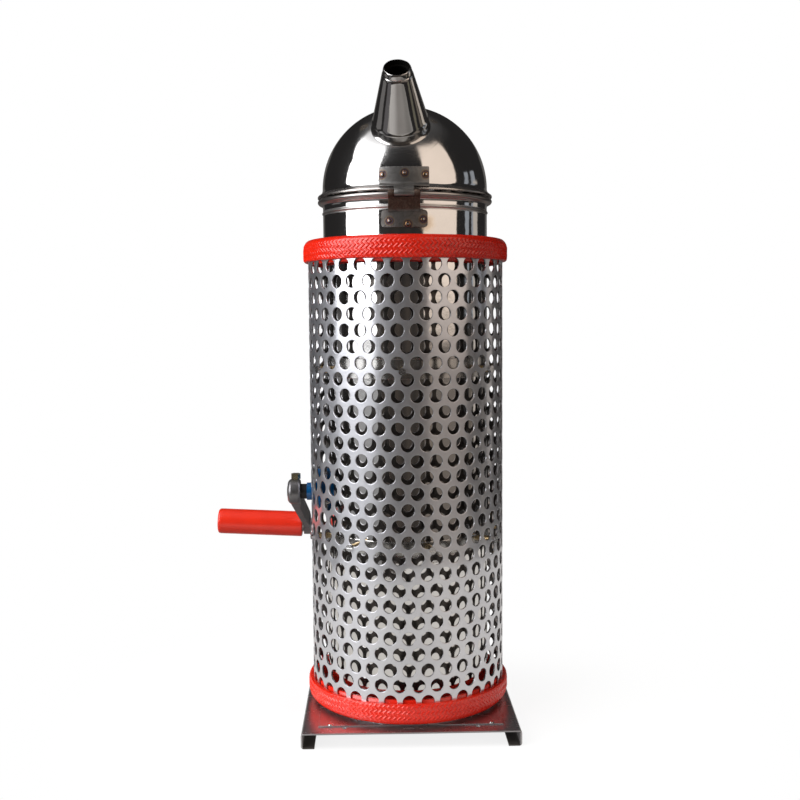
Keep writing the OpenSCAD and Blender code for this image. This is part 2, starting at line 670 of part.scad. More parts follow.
placed() base_plate();
placed() base_doubler();
placed() base_rivets();
placed() base_screws();
placed() base_nuts();
placed() lower_can();
placed() partition_pan();
placed() lower_band();
placed() fan_can();
placed() upper_band();
placed() fire_grate();
placed() fire_can();
placed() guard_cage();
placed() bottom_trim();
placed() top_trim();
placed() spacer_bushes();
placed() cage_screws();
placed() cage_nuts();
placed() gear_case();
placed() gear_case_cover();
placed() case_screws();
placed() crank_housing();
placed() housing_screws();
placed() outer_crank_bush();
placed() inner_crank_bush();
placed() idler_pin();
placed() fan_bushes();
placed() crank_shaft();
placed() shaft_collar();
placed() drive_gear();
placed() crank_arm();
placed() crank_set_screw();
placed() grip_spindle();
placed() grip();
placed() grip_end_cap();
placed() idler_gear();
placed() fan_shaft();
placed() fan_pinion();
placed() fan_impeller();
placed() fan_nut();
placed() hinge_lower_leaf();
placed() hinge_lower_rivets();
placed() hinge_pin();
placed() hinge_upper_leaf();
placed() hinge_upper_rivets();
placed() lid_dome();
placed() spout_collar();
placed() spout_cone();
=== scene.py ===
"""A small crank-driven fan burner inside a perforated guard, on a bent sheet base.

The device stands upright along Z. Its front (hinge and spout) faces -Y and its crank is on
the -X side. Sizes are in millimetres and heights count from the ground. install() lowers a
finished piece so that it meets the origin of the CAD pieces. Azimuths run from the front
towards +X.
"""
import bpy
import bmesh
import math
from mathutils import Vector, Matrix, noise

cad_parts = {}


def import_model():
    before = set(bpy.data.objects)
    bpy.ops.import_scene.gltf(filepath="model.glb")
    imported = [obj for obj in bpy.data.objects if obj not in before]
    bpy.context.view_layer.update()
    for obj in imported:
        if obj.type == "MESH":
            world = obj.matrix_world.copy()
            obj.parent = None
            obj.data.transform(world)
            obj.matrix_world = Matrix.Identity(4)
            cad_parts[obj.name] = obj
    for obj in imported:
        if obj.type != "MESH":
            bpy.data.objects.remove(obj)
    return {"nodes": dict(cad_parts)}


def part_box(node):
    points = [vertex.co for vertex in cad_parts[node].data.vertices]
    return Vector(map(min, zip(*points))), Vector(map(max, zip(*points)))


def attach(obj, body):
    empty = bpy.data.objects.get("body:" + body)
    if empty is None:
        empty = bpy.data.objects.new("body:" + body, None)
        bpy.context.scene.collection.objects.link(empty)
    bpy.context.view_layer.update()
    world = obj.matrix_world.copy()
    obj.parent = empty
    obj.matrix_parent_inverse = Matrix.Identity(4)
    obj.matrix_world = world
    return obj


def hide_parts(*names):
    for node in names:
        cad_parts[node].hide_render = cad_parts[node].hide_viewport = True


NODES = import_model()["nodes"]
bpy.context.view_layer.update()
MM = 0.001
ORIGIN_Z = -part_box("base_plate")[0].z    # height of the origin above the ground, metres

# ---------------------------------------------------------------- driving sizes, millimetres
CAGE_RO, CAGE_RI = 76.5, 75.0
CAGE_TOP, CAGE_FOOT = 376.0, 16.5
HOLES_ROUND, ROWS = 34, 29
FIRST_HOLE_AZ = -1.0                     # degrees
TOP_ROW_Z, ROW_PITCH = 368.2, 12.0
TRIM_LAP = 1.45                          # how far a trim reaches past the cage's edge

CAN_R, SHEET = 64.3, 0.8
CAN_RI = CAN_R - SHEET
DOME_R, DOME_Z = 64.4, 416.5

SPOUT_R0, SPOUT_R1, SPOUT_LEN = 21.5, 8.5, 51.5
SPOUT_TILT, SPOUT_AIM = math.radians(47), math.radians(-5)
SPOUT_FOOT = math.sqrt(DOME_R ** 2 - SPOUT_R0 ** 2)    # along the spout, from the dome's centre
SPOUT_TIP = SPOUT_FOOT + SPOUT_LEN
SPOUT_TAPER = (SPOUT_R0 - SPOUT_R1) / SPOUT_LEN
COLLAR_LEN = 6.5
CONE_FOOT = SPOUT_FOOT + COLLAR_LEN
CONE_R = SPOUT_R0 - COLLAR_LEN * SPOUT_TAPER           # radius where the cone leaves the collar

CRANK_Z, THROW, CRANK_REST = 179.0, 46.0, math.radians(-45.5)
GRIP_PIVOT = Vector((-85.0, THROW * math.cos(CRANK_REST),
                     CRANK_Z + THROW * math.sin(CRANK_REST)))
GRIP_TILT = math.radians(2.9)

HINGE_Y, HINGE_Z = -71.0, 407.0
BASE_HALF, BASE_TOP, BASE_SHEET = 82.0, 11.6, 1.2

HEAD_TURN = Matrix.Rotation(math.radians(-2), 4, "Z")
SIDEWAYS = Matrix.Rotation(math.pi / 2, 4, "Y")        # lays the Z axis along X
SPOUT_FRAME = (Matrix.Translation((0, 0, DOME_Z)) @ Matrix.Rotation(SPOUT_AIM, 4, "Z")
               @ Matrix.Rotation(SPOUT_TILT, 4, "X"))
GRIP_FRAME = (Matrix.Translation(GRIP_PIVOT) @ Matrix.Rotation(GRIP_TILT, 4, "Y")
              @ Matrix.Translation((-GRIP_PIVOT.x, 0, 0)))


def az_point(azimuth, radius, z):
    turn = math.radians(azimuth)
    return Vector((radius * math.sin(turn), -radius * math.cos(turn), z))


def rivet_places(radius, stations):
    return [tuple(HEAD_TURN @ az_point(azimuth, radius, z)) for azimuth, z in stations]


# azimuth, height
LOWER_RIVETS = rivet_places(CAN_R + 1.25, [(-9.6, 387.6), (2.3, 385.2), (12.2, 388.6)])
UPPER_RIVETS = rivet_places(DOME_R + 1.15, [(-14, 421), (0.4, 422), (14, 421)])


# ---------------------------------------------------------------- shader graph
def mm(*values):
    """Millimetres to metres."""
    return tuple(value * MM for value in values)


def scaled(colour, factor):
    return tuple(channel * factor for channel in colour)


class Field:
    """A node's output. Arithmetic on single-valued fields adds math nodes."""

    def __init__(self, net, socket):
        self.net = net
        self.socket = socket

    def __add__(self, other):
        return self.net.math("ADD", self, other)

    def __radd__(self, other):
        return self.net.math("ADD", other, self)

    def __sub__(self, other):
        return self.net.math("SUBTRACT", self, other)

    def __rsub__(self, other):
        return self.net.math("SUBTRACT", other, self)

    def __mul__(self, other):
        return self.net.math("MULTIPLY", self, other)

    def __truediv__(self, other):
        return self.net.math("DIVIDE", self, other)

    def __abs__(self):
        return self.net.math("ABSOLUTE", self)


class Net:
    """A node tree under construction."""

    def __init__(self, tree, output_kind):
        self.tree = tree
        tree.nodes.clear()
        self.output = self.node(output_kind)

    def node(self, kind, **settings):
        node = self.tree.nodes.new(kind)
        for key, value in settings.items():
            setattr(node, key, value)
        return node

    def put(self, socket, value):
        if isinstance(value, Field):
            self.tree.links.new(value.socket, socket)
        else:
            socket.default_value = (*value, 1.0) if socket.type == "RGBA" else value

    def source(self, kind, output):
        return Field(self, self.node(kind).outputs[output])

    def math(self, operation, first, second=0.0):
        node = self.node("ShaderNodeMath", operation=operation)
        self.put(node.inputs[0], first)
        self.put(node.inputs[1], second)
        return Field(self, node.outputs[0])

    def vmath(self, operation, first, second=(0, 0, 0)):
        node = self.node("ShaderNodeVectorMath", operation=operation)
        self.put(node.inputs[0], first)
        self.put(node.inputs[1], second)
        return Field(self, node.outputs["Value" if operation in ("LENGTH", "DISTANCE") else 0])

    def distance(self, point):
        """Distance in metres from a point given in millimetres."""
        return self.vmath("DISTANCE", self.coord, mm(*point))

    def xyz(self, vector):
        node = self.node("ShaderNodeSeparateXYZ")
        self.put(node.inputs[0], vector)
        return [Field(self, socket) for socket in node.outputs]

    def vector(self, *parts):
        node = self.node("ShaderNodeCombineXYZ")
        for socket, part in zip(node.inputs, parts):
            self.put(socket, part)
        return Field(self, node.outputs[0])

    def azimuth(self, x, y):
        """Degrees round from the camera's side of the object."""
        return self.math("ARCTAN2", x, y * -1.0) * 57.29578 + 2.2

    def noise(self, scale, detail, rough=0.55, stretch=None, turn=(0, 0, 0), distortion=0.0):
        """Noise on the object. stretch scales its axes, after rotating by turn."""
        where = self.coord
        if stretch:
            mapping = self.node("ShaderNodeMapping")
            self.put(mapping.inputs["Vector"], where)
            mapping.inputs["Scale"].default_value = stretch
            mapping.inputs["Rotation"].default_value = turn
            where = Field(self, mapping.outputs[0])
        node = self.node("ShaderNodeTexNoise")
        self.put(node.inputs["Vector"], where)
        node.inputs["Scale"].default_value = scale
        node.inputs["Detail"].default_value = detail
        node.inputs["Roughness"].default_value = rough
        node.inputs["Distortion"].default_value = distortion
        return Field(self, node.outputs["Fac"])

    def voronoi(self, scale):
        node = self.node("ShaderNodeTexVoronoi")
        self.put(node.inputs["Vector"], self.coord)
        node.inputs["Scale"].default_value = scale
        return Field(self, node.outputs["Distance"])

    def scratches(self, scale, length, turn, over):
        streaks = self.noise(scale=scale, detail=2, rough=0.5,
                             stretch=(1, 1, 1 / length), turn=turn)
        return self.remap(streaks, over=over)

    def ramp(self, value, stops):
        """Colour ramp. stops are (position, colour or grey level)."""
        node = self.node("ShaderNodeValToRGB")
        elements = node.color_ramp.elements
        while len(elements) > 1:
            elements.remove(elements[-1])
        for i, (position, colour) in enumerate(stops):
            if isinstance(colour, (int, float)):
                colour = (colour,) * 3
            element = elements[0] if i == 0 else elements.new(position)
            element.position = position
            element.color = (*colour, 1.0)
        self.put(node.inputs["Fac"], value)
        return Field(self, node.outputs["Color"])

    def remap(self, value, over, to=(0.0, 1.0), smooth=False):
        """Carries the range over onto the range to, clamped."""
        node = self.node("ShaderNodeMapRange", clamp=True)
        if smooth:
            node.interpolation_type = "SMOOTHSTEP"
        self.put(node.inputs["Value"], value)
        for key, number in zip(("From Min", "From Max", "To Min", "To Max"), (*over, *to)):
            node.inputs[key].default_value = number
        return Field(self, node.outputs["Result"])

    def band(self, value, low, high, soft, smooth=True):
        """1 between low and high. soft holds the half-widths of the two edges."""
        rise = self.remap(value, over=(low - soft[0], low + soft[0]), smooth=smooth)
        fall = self.remap(value, over=(high - soft[1], high + soft[1]), to=(1, 0), smooth=smooth)
        return rise * fall

    def mix(self, share, first, second):
        node = self.node("ShaderNodeMix", data_type="RGBA")
        self.put(node.inputs["Factor"], share)
        self.put(node.inputs[6], first)      # the colour sockets A and B
        self.put(node.inputs[7], second)
        return Field(self, node.outputs[2])

    def bump(self, height, strength, depth, under=None):
        """Bumps of the given depth in millimetres, over the normal under."""
        node = self.node("ShaderNodeBump")
        node.inputs["Strength"].default_value = strength
        node.inputs["Distance"].default_value = depth * MM
        self.put(node.inputs["Height"], height)
        if under is not None:
            self.put(node.inputs["Normal"], under)
        return Field(self, node.outputs["Normal"])

    def shader(self, kind, colour=None):
        node = self.node(kind)
        if colour is not None:
            self.put(node.inputs["Color"], colour)
        return Field(self, node.outputs[0])

    def principled(self, colour, metallic, rough, normal, **extra):
        node = self.node("ShaderNodeBsdfPrincipled")
        self.put(node.inputs["Base Color"], colour)
        self.put(node.inputs["Metallic"], metallic)
        self.put(node.inputs["Roughness"], rough)
        self.put(node.inputs["Normal"], normal)
        for key, value in extra.items():
            self.put(node.inputs[key.replace("_", " ")], value)
        return Field(self, node.outputs[0])

    def mix_shader(self, share, first, second):
        node = self.node("ShaderNodeMixShader")
        for socket, value in zip(node.inputs, (share, first, second)):
            self.put(socket, value)
        return Field(self, node.outputs[0])

    def surface(self, shader):
        self.put(self.output.inputs["Surface"], shader)

    def finish(self, colour, metallic, rough, normal, **extra):
        self.surface(self.principled(colour, metallic, rough, normal, **extra))
        return self.material

    def finish_two(self, colour, metallic, normal, rough, broad_rough, broad_share):
        """A sharp reflection with a share of a broad one that glows round highlights."""
        sharp = self.principled(colour, metallic, rough, normal)
        broad = self.principled(colour, metallic, broad_rough, normal)
        self.surface(self.mix_shader(broad_share, sharp, broad))
        return self.material


def material_net(name):
    """Starts a material whose coordinates count from the ground."""
    material = bpy.data.materials.new(name)
    material.use_nodes = True
    net = Net(material.node_tree, "ShaderNodeOutputMaterial")
    net.material = material
    net.coord = net.vmath("ADD", net.source("ShaderNodeTexCoord", "Object"), (0, 0, ORIGIN_Z))
    return net


# ---------------------------------------------------------------- materials
def mirror_steel(name, base=(0.80, 0.79, 0.78), rough=0.045, broad_share=0.012,
                 tints=(), dull_bands=(), ring=None):
    """Polished steel with heat tints, duller bands and a pressed ring."""
    net = material_net(name)
    haze = net.noise(scale=38, detail=5, rough=0.6)
    fine = net.noise(scale=420, detail=4, rough=0.6)
    rough = rough + net.remap(haze, over=(0.45, 0.8)) * 0.05
    rough = rough + net.remap(fine, over=(0.55, 0.75)) * 0.035
    scratch = net.math(
        "MAXIMUM",
        net.scratches(scale=700, length=22, turn=(0.0, 0.25, 0.3), over=(0.68, 0.78)),
        net.scratches(scale=620, length=26, turn=(1.2, 0.1, -0.4), over=(0.69, 0.79)))
    rough = rough + scratch * 0.12
    colour = net.mix(net.remap(haze, over=(0.4, 0.75)), base, scaled(base, 0.93))

    if dull_bands:      # rolled rims and beads are worked harder and stay duller
        z = net.xyz(net.coord)[2]
    for low, high, extra_rough, tone in dull_bands:
        share = net.band(z, low * MM, high * MM, soft=mm(0.3, 0.3), smooth=False)
        rough = rough + share * extra_rough
        colour = net.mix(share * 0.8, colour, tone)

    for centre, radius, strength in tints:
        distance = net.distance(centre)
        wobble = net.noise(scale=160, detail=3) * 0.004
        distance = distance + (wobble - 0.002)
        halo = net.ramp(net.remap(distance, over=mm(0, radius)), [
            (0.0, (0.30, 0.22, 0.16)), (0.25, (0.42, 0.28, 0.14)), (0.45, (0.62, 0.42, 0.20)),
            (0.62, (0.78, 0.62, 0.38)), (1.0, base)])
        share = net.remap(distance, over=mm(radius * 0.25, radius), to=(1, 0),
                          smooth=True) * strength
        colour = net.mix(share, colour, halo)
        rough = rough + share * 0.22

    normal = net.bump(net.noise(scale=22, detail=2, rough=0.5), strength=0.10, depth=4)
    normal = net.bump(net.noise(scale=190, detail=3, rough=0.6), strength=0.035, depth=0.6,
                      under=normal)
    normal = net.bump(net.noise(scale=75, detail=3), strength=0.05, depth=1.5, under=normal)
    normal = net.bump(scratch, strength=-0.08, depth=0.2, under=normal)
    if ring:
        centre, radius = ring
        distance = net.distance(centre)
        line_share = net.remap(abs(distance - radius * MM), over=mm(0, 0.9), to=(1, 0),
                               smooth=True)
        normal = net.bump(line_share, strength=0.06, depth=0.3, under=normal)
        rough = rough + net.remap(distance, over=mm(30, 42), to=(1, 0), smooth=True) * 0.10
    return net.finish_two(colour, 1.0, normal, rough=net.math("MINIMUM", rough, 0.5),
                          broad_rough=0.36, broad_share=broad_share)


def brushed(name, base, rough, stretch, grain_amount, spots):
    """Metal with a grain drawn out along the axis that stretch makes small."""
    net = material_net(name)
    grain = net.noise(scale=1300, detail=3, rough=0.6, stretch=stretch)
    cloud = net.noise(scale=30, detail=5, rough=0.6)
    rough = rough + (grain - 0.5) * (grain_amount * 2)
    rough = rough + (cloud - 0.5) * 0.16
    colour = net.mix(net.remap(cloud, over=(0.35, 0.7)), base, scaled(base, 0.86))
    dots = net.remap(net.noise(scale=260, detail=5, rough=0.7), over=(0.60, 0.72), to=(0, spots))
    colour = net.mix(dots, colour, (0.22, 0.2, 0.19))
    rough = rough + dots * 0.3
    scratch = net.scratches(scale=800, length=24, turn=(0.5, 0.9, 0.2), over=(0.68, 0.78))
    rough = rough + scratch * 0.12
    normal = net.bump(grain, strength=0.12, depth=0.1)
    normal = net.bump(cloud, strength=0.05, depth=2, under=normal)
    rough = net.math("MAXIMUM", net.math("MINIMUM", rough, 0.9), 0.05)
    return net.finish(colour, 1.0, rough, normal)


def red_trim_material():
    net = material_net("red_rubber_embossed")
    blotch = net.noise(scale=60, detail=5, rough=0.6)
    fine = net.noise(scale=900, detail=4, rough=0.65)
    colour = net.mix(net.remap(blotch, over=(0.3, 0.75)),
                     (0.90, 0.018, 0.002), (0.76, 0.011, 0.001))
    colour = net.mix(net.remap(fine, over=(0.35, 0.8), to=(0, 0.2)), colour, (0.90, 0.05, 0.015))
    dust = net.remap(net.noise(scale=340, detail=6, rough=0.75), over=(0.64, 0.78), to=(0, 0.12))
    colour = net.mix(dust, colour, (0.85, 0.30, 0.24))
    normal = net.bump(fine, strength=0.12, depth=0.22)
    normal = net.bump(net.noise(scale=240, detail=4, rough=0.6), strength=0.08, depth=0.6,
                      under=normal)
    return net.finish(colour, 0.0, 0.20 + fine * 0.12, normal, Specular_IOR_Level=0.78)


def red_plastic_material():
    net = material_net("red_moulded_plastic")
    cloud = net.noise(scale=45, detail=4, rough=0.5)
    fine = net.noise(scale=1500, detail=3, rough=0.6, stretch=(0.06, 1, 1))
    colour = net.mix(net.remap(cloud, over=(0.35, 0.7)),
                     (0.88, 0.032, 0.010), (0.80, 0.026, 0.009))
    scuff = net.remap(net.noise(scale=150, detail=6, rough=0.75, stretch=(0.25, 1, 1)),
                      over=(0.62, 0.74), to=(0, 0.12))
    colour = net.mix(scuff, colour, (0.88, 0.22, 0.16))
    rough = 0.25 + fine * 0.08
    rough = rough + scuff * 0.5
    normal = net.bump(fine, strength=0.06, depth=0.2)
    normal = net.bump(cloud, strength=0.05, depth=3, under=normal)
    return net.finish(colour, 0.0, rough, normal, Specular_IOR_Level=0.7)


def cast_material():
    """Lumpy cast metal with small dark pits."""
    pale, dark = (0.31, 0.30, 0.305), (0.21, 0.205, 0.21)
    net = material_net("cast_metal")
    lumps = net.noise(scale=420, detail=5, rough=0.65)
    cloud = net.noise(scale=70, detail=4, rough=0.6)
    colour = net.mix(net.remap(cloud, over=(0.3, 0.7)), pale, dark)
    pits = net.remap(net.voronoi(scale=900), over=(0, 0.25), to=(1, 0))
    colour = net.mix(pits * 0.3, colour, scaled(pale, 0.4))
    normal = net.bump(lumps, strength=0.35, depth=0.4)
    normal = net.bump(pits, strength=-0.2, depth=0.2, under=normal)
    return net.finish(colour, 0.9, 0.36 + (lumps - 0.5) * 0.35, normal)


def blue_material():
    """Blue enamel, chipped to bare metal in places."""
    net = material_net("blue_enamel")
    cloud = net.noise(scale=90, detail=4, rough=0.6)
    peel = net.noise(scale=520, detail=3, rough=0.5)
    colour = net.mix(net.remap(cloud, over=(0.3, 0.7)), (0.006, 0.13, 0.36), (0.004, 0.085, 0.25))
    chips = net.remap(net.noise(scale=230, detail=6, rough=0.8), over=(0.66, 0.70))
    colour = net.mix(chips, colour, (0.25, 0.25, 0.26))
    normal = net.bump(peel, strength=0.15, depth=0.3)
    return net.finish(colour, chips * 0.9, 0.22 + chips * 0.3, normal,
                      Coat_Weight=0.5, Coat_Roughness=0.12)


def heat_rings(net, places, colour, rough):
    """Dark, brown and straw rings round each weld."""
    for place in places:
        distance = net.distance(place) + (net.noise(scale=420, detail=3) - 0.5) * 0.0014
        halo = net.ramp(net.remap(distance, over=mm(1.4, 4.6)), [
            (0.0, (0.06, 0.05, 0.07)), (0.25, (0.05, 0.04, 0.09)), (0.45, (0.12, 0.055, 0.025)),
            (0.7, (0.34, 0.19, 0.06)), (0.95, (0.5, 0.4, 0.22))])
        share = net.remap(distance, over=mm(2.2, 4.4), to=(0.85, 0), smooth=True)
        colour = net.mix(share, colour, halo)
        rough = rough + share * 0.08
    return colour, rough


def rust_material():
    """Lower leaf: a dull dark plate and, above it, a brown heat-stained neck."""
    net = material_net("rusted_hinge_steel")
    z = net.xyz(net.coord)[2]
    big = net.noise(scale=170, detail=6, rough=0.7, distortion=0.6)
    fine = net.noise(scale=900, detail=5, rough=0.7)
    rust = net.ramp(fine, [
        (0.25, (0.030, 0.016, 0.012)), (0.5, (0.070, 0.038, 0.026)),
        (0.70, (0.150, 0.095, 0.065)), (0.88, (0.30, 0.24, 0.19))])
    rust = net.mix(net.remap(big, over=(0.5, 0.75), to=(0, 0.6)), rust, (0.20, 0.16, 0.125))
    bare = net.ramp(big, [(0.3, (0.13, 0.12, 0.115)), (0.7, (0.26, 0.245, 0.23))])
    on_neck = (net.remap(z, over=mm(395.0, 396.2))
               * net.remap(big, over=(0.10, 0.36), to=(0.7, 1)))
    colour = net.mix(on_neck, bare, rust)
    rough = net.remap(on_neck, over=(0, 1), to=(0.30, 0.50)) + fine * 0.15
    colour, rough = heat_rings(net, LOWER_RIVETS, colour, rough)
    metallic = net.remap(on_neck, over=(0.3, 1), to=(0.85, 0.35))
    normal = net.bump(fine, strength=0.3, depth=0.3)
    normal = net.bump(big, strength=0.30, depth=1, under=normal)
    return net.finish(colour, metallic, rough, normal)


def hinge_material():
    """Upper leaf: dull steel with heat rings."""
    net = material_net("hinge_steel")
    big = net.noise(scale=150, detail=6, rough=0.7)
    fine = net.noise(scale=1100, detail=4, rough=0.65, stretch=(0.2, 1, 1))
    colour = net.mix(net.remap(big, over=(0.3, 0.7)), (0.20, 0.195, 0.19), (0.33, 0.32, 0.31))
    colour, rough = heat_rings(net, UPPER_RIVETS, colour, 0.26 + fine * 0.18)
    normal = net.bump(fine, strength=0.15, depth=0.2)
    normal = net.bump(big, strength=0.16, depth=1.2, under=normal)
    return net.finish(colour, 0.88, rough, normal)


def weld_material(name, places):
    """Rivet heads: a bright dot, a dark blue-brown ring and a straw rim."""
    net = material_net(name)
    nearest = net.distance(places[0])
    for place in places[1:]:
        nearest = net.math("MINIMUM", nearest, net.distance(place))
    nearest = nearest + (net.noise(scale=700, detail=3) - 0.5) * 0.0006
    colour = net.ramp(net.remap(nearest, over=mm(0, 2.2)), [
        (0.0, (0.86, 0.84, 0.80)), (0.30, (0.66, 0.62, 0.56)), (0.42, (0.12, 0.10, 0.13)),
        (0.58, (0.10, 0.06, 0.05)), (0.78, (0.42, 0.22, 0.08)), (1.0, (0.30, 0.24, 0.14))])
    fine = net.noise(scale=1400, detail=4, rough=0.7)
    return net.finish(colour, 0.95, 0.20 + fine * 0.2, net.bump(fine, strength=0.2, depth=0.2))


def plain_metal(name, tones, rough, scale=300.0, metallic=1.0):
    net = material_net(name)
    cloud = net.noise(scale=scale, detail=4, rough=0.6)
    fine = net.noise(scale=scale * 5, detail=3, rough=0.6)
    colour = net.mix(net.remap(cloud, over=(0.3, 0.7)), *tones)
    return net.finish(colour, metallic, rough + (fine - 0.5) * 0.25,
                      net.bump(fine, strength=0.12, depth=0.1))


# soot with painted shade: near-black and almost without shine, so that the mouth stays dark
def soot_material():
    net = material_net("soot_and_painted_shade_inside")
    cloud = net.noise(scale=220, detail=5, rough=0.7)
    colour = net.mix(cloud, (0.003, 0.0027, 0.0024), (0.009, 0.008, 0.007))
    return net.finish(colour, 0.0, 0.9, net.bump(cloud, strength=0.2, depth=0.3),
                      Specular_IOR_Level=0.03)


def base_material():
    """Cold-rolled sheet: satin on top, painted shade inside the folds, duller on the front edge.
    """
    net = material_net("base_steel")
    x, _, z = net.xyz(net.coord)
    big = net.noise(scale=30, detail=5, rough=0.6)
    grain = net.noise(scale=900, detail=4, rough=0.6, stretch=(0.03, 1, 1))
    fine = net.noise(scale=520, detail=5, rough=0.7)
    stain = net.remap(net.noise(scale=90, detail=6, rough=0.7), over=(0.52, 0.72), to=(0, 0.5))
    colour = net.mix(net.remap(big, over=(0.35, 0.7)), (0.66, 0.65, 0.67), (0.54, 0.53, 0.55))
    colour = net.mix(stain, colour, (0.34, 0.32, 0.33))
    rough = 0.19 + (grain * 0.10 + stain * 0.20)
    facing = net.xyz(net.source("ShaderNodeNewGeometry", "Normal"))
    edge = net.remap(facing[1] * -1.0, over=(0.6, 0.9)) * net.remap(z, over=mm(9.8, 10.3))
    rough = rough + edge * 0.35
    colour = net.mix(edge, colour, (0.42, 0.41, 0.42))
    # painted shade: near-black, rougher and less metallic inside the folds and under the top
    inside = (net.remap(z, over=mm(10.2, 10.5), to=(1, 0))
              * net.remap(abs(x), over=mm(80.5, 81.2), to=(1, 0)))
    colour = net.mix(inside * 0.95, colour, (0.035, 0.028, 0.022))
    rough = rough + inside * 0.3
    normal = net.bump(grain, strength=0.05, depth=0.2)
    normal = net.bump(fine, strength=0.05, depth=0.2, under=normal)
    normal = net.bump(big, strength=0.10, depth=4, under=normal)
    metallic = net.remap(inside, over=(0, 1), to=(1, 0.3))
    return net.finish_two(colour, metallic, normal, rough=rough, broad_rough=0.5,
                          broad_share=0.35)


def cage_material():
    """Speckled, mottled sheet, with painted shade on its inner face."""
    net = material_net("perforated_sheet_steel")
    x, y, _ = net.xyz(net.coord)
    radius = net.vmath("LENGTH", net.vector(x, y, 0.0))
    outside = net.remap(radius, over=mm(75.05, 76.40))
    cloud = net.noise(scale=24, detail=5, rough=0.6)
    mottle = net.noise(scale=260, detail=5, rough=0.7)
    grain = net.noise(scale=1500, detail=3, rough=0.6, stretch=(1, 1, 0.05))
    specks = net.remap(net.noise(scale=430, detail=5, rough=0.75), over=(0.62, 0.71), to=(0, 0.7))
    colour = net.mix(net.remap(cloud, over=(0.35, 0.7)), (0.84, 0.85, 0.90), (0.73, 0.74, 0.79))
    colour = net.mix(net.remap(mottle, over=(0.4, 0.7), to=(0, 0.3)), colour, (0.80, 0.81, 0.83))
    colour = net.mix(specks, colour, (0.34, 0.33, 0.34))
    # painted shade: the inner face is made dark so that it stays dark through the holes
    colour = net.mix(outside, (0.13, 0.12, 0.115), colour)
    rough = 0.14 + (grain - 0.5) * 0.08
    rough = rough + (mottle - 0.5) * 0.22
    rough = rough + specks * 0.25
    normal = net.bump(net.noise(scale=16, detail=2, rough=0.5), strength=0.12, depth=6)
    normal = net.bump(mottle, strength=0.10, depth=0.4, under=normal)
    return net.finish_two(colour, 1.0, normal, rough=net.math("MAXIMUM", rough, 0.07),
                          broad_rough=0.46 + (mottle - 0.5) * 0.2, broad_share=0.5)


MATS = {
    "cage": cage_material(),
    "trim": red_trim_material(),
    "grip": red_plastic_material(),
    # tints: centre, radius, strength; dull bands: low z, high z, extra roughness, colour
    "can": mirror_steel(
        "mirror_steel_can",
        tints=[((-8.5, -65.5, 387), 9.0, 0.55), ((14.0, -65.0, 386), 10.0, 0.5),
               ((-30.0, -58.0, 386), 5.0, 0.35)],
        dull_bands=[(396.2, 400.2, 0.28, (0.60, 0.58, 0.56)),
                    (403.8, 409.5, 0.24, (0.46, 0.42, 0.40))]),
    "dome": mirror_steel(
        "mirror_steel_dome",
        tints=[((-31.3, -35.7, 460.0), 6.0, 0.55), ((20.8, -39.1, 463.3), 5.0, 0.45)],
        ring=(tuple(SPOUT_FRAME @ Vector((0, 0, DOME_R))), 32.0),
        dull_bands=[(409.0, 413.6, 0.22, (0.56, 0.52, 0.49))]),
    "spout": mirror_steel("mirror_steel_spout", base=(0.78, 0.76, 0.74), rough=0.05,
                          broad_share=0.02),
    "collar": mirror_steel("mirror_steel_collar", base=(0.62, 0.60, 0.58), rough=0.13,
                           broad_share=0.05),
    "soot_and_shade": soot_material(),
    "satin": brushed("satin_steel", base=(0.74, 0.73, 0.71), rough=0.24, stretch=(1, 1, 0.03),
                     grain_amount=0.05, spots=0.15),
    "base": base_material(),
    "fastener": plain_metal("fastener_steel", rough=0.24,
                            tones=[(0.80, 0.80, 0.80), (0.62, 0.62, 0.63)]),
    "rivet": plain_metal("rivet_steel", rough=0.30, scale=500.0,
                         tones=[(0.62, 0.58, 0.52), (0.42, 0.36, 0.32)]),
    "brass": plain_metal("brass", rough=0.28, tones=[(0.78, 0.60, 0.34), (0.66, 0.47, 0.24)]),
    "zinc": plain_metal("zinc_yellow", rough=0.26, scale=500.0,
                        tones=[(0.72, 0.64, 0.40), (0.58, 0.52, 0.36)]),
    "gear": brushed("gear_steel", base=(0.62, 0.62, 0.62), rough=0.30, stretch=(0.03, 1, 1),
                    grain_amount=0.08, spots=0.2),
    "black": plain_metal("black_steel", rough=0.42, scale=400.0, metallic=0.2,
                         tones=[(0.012, 0.012, 0.013), (0.025, 0.025, 0.026)]),
    "cast": cast_material(),
    "blue": blue_material(),
    "aluminium": brushed("fan_aluminium", base=(0.72, 0.73, 0.74), rough=0.30,
                         stretch=(1, 0.03, 1), grain_amount=0.08, spots=0.2),
    "rust": rust_material(),
    "hinge": hinge_material(),
    "weld_lower": weld_material("weld_spots_lower", LOWER_RIVETS),
    "weld_upper": weld_material("weld_spots_upper", UPPER_RIVETS),
}

# which CAD pieces wear each material
PIECES = {
    "base": "base_plate base_doubler",
    "fastener": "base_rivets base_screws base_nuts cage_screws cage_nuts case_screws "
                "housing_screws fan_nut",
    "can": "lower_can fan_can fire_can",
    "satin": "partition_pan lower_band upper_band fire_grate",
    "cage": "guard_cage",
    "trim": "bottom_trim top_trim",
    "brass": "spacer_bushes outer_crank_bush inner_crank_bush fan_bushes fan_pinion",
    "blue": "gear_case gear_case_cover crank_housing",
    "gear": "idler_pin crank_shaft drive_gear grip_spindle idler_gear fan_shaft hinge_pin",
    "black": "shaft_collar",
    "cast": "crank_arm",
    "zinc": "crank_set_screw",
    "grip": "grip grip_end_cap",
    "aluminium": "fan_impeller",
    "rust": "hinge_lower_leaf",
    "hinge": "hinge_upper_leaf",
    "rivet": "hinge_lower_rivets hinge_upper_rivets",
    "dome": "lid_dome",
    "spout": "spout_collar spout_cone",
}
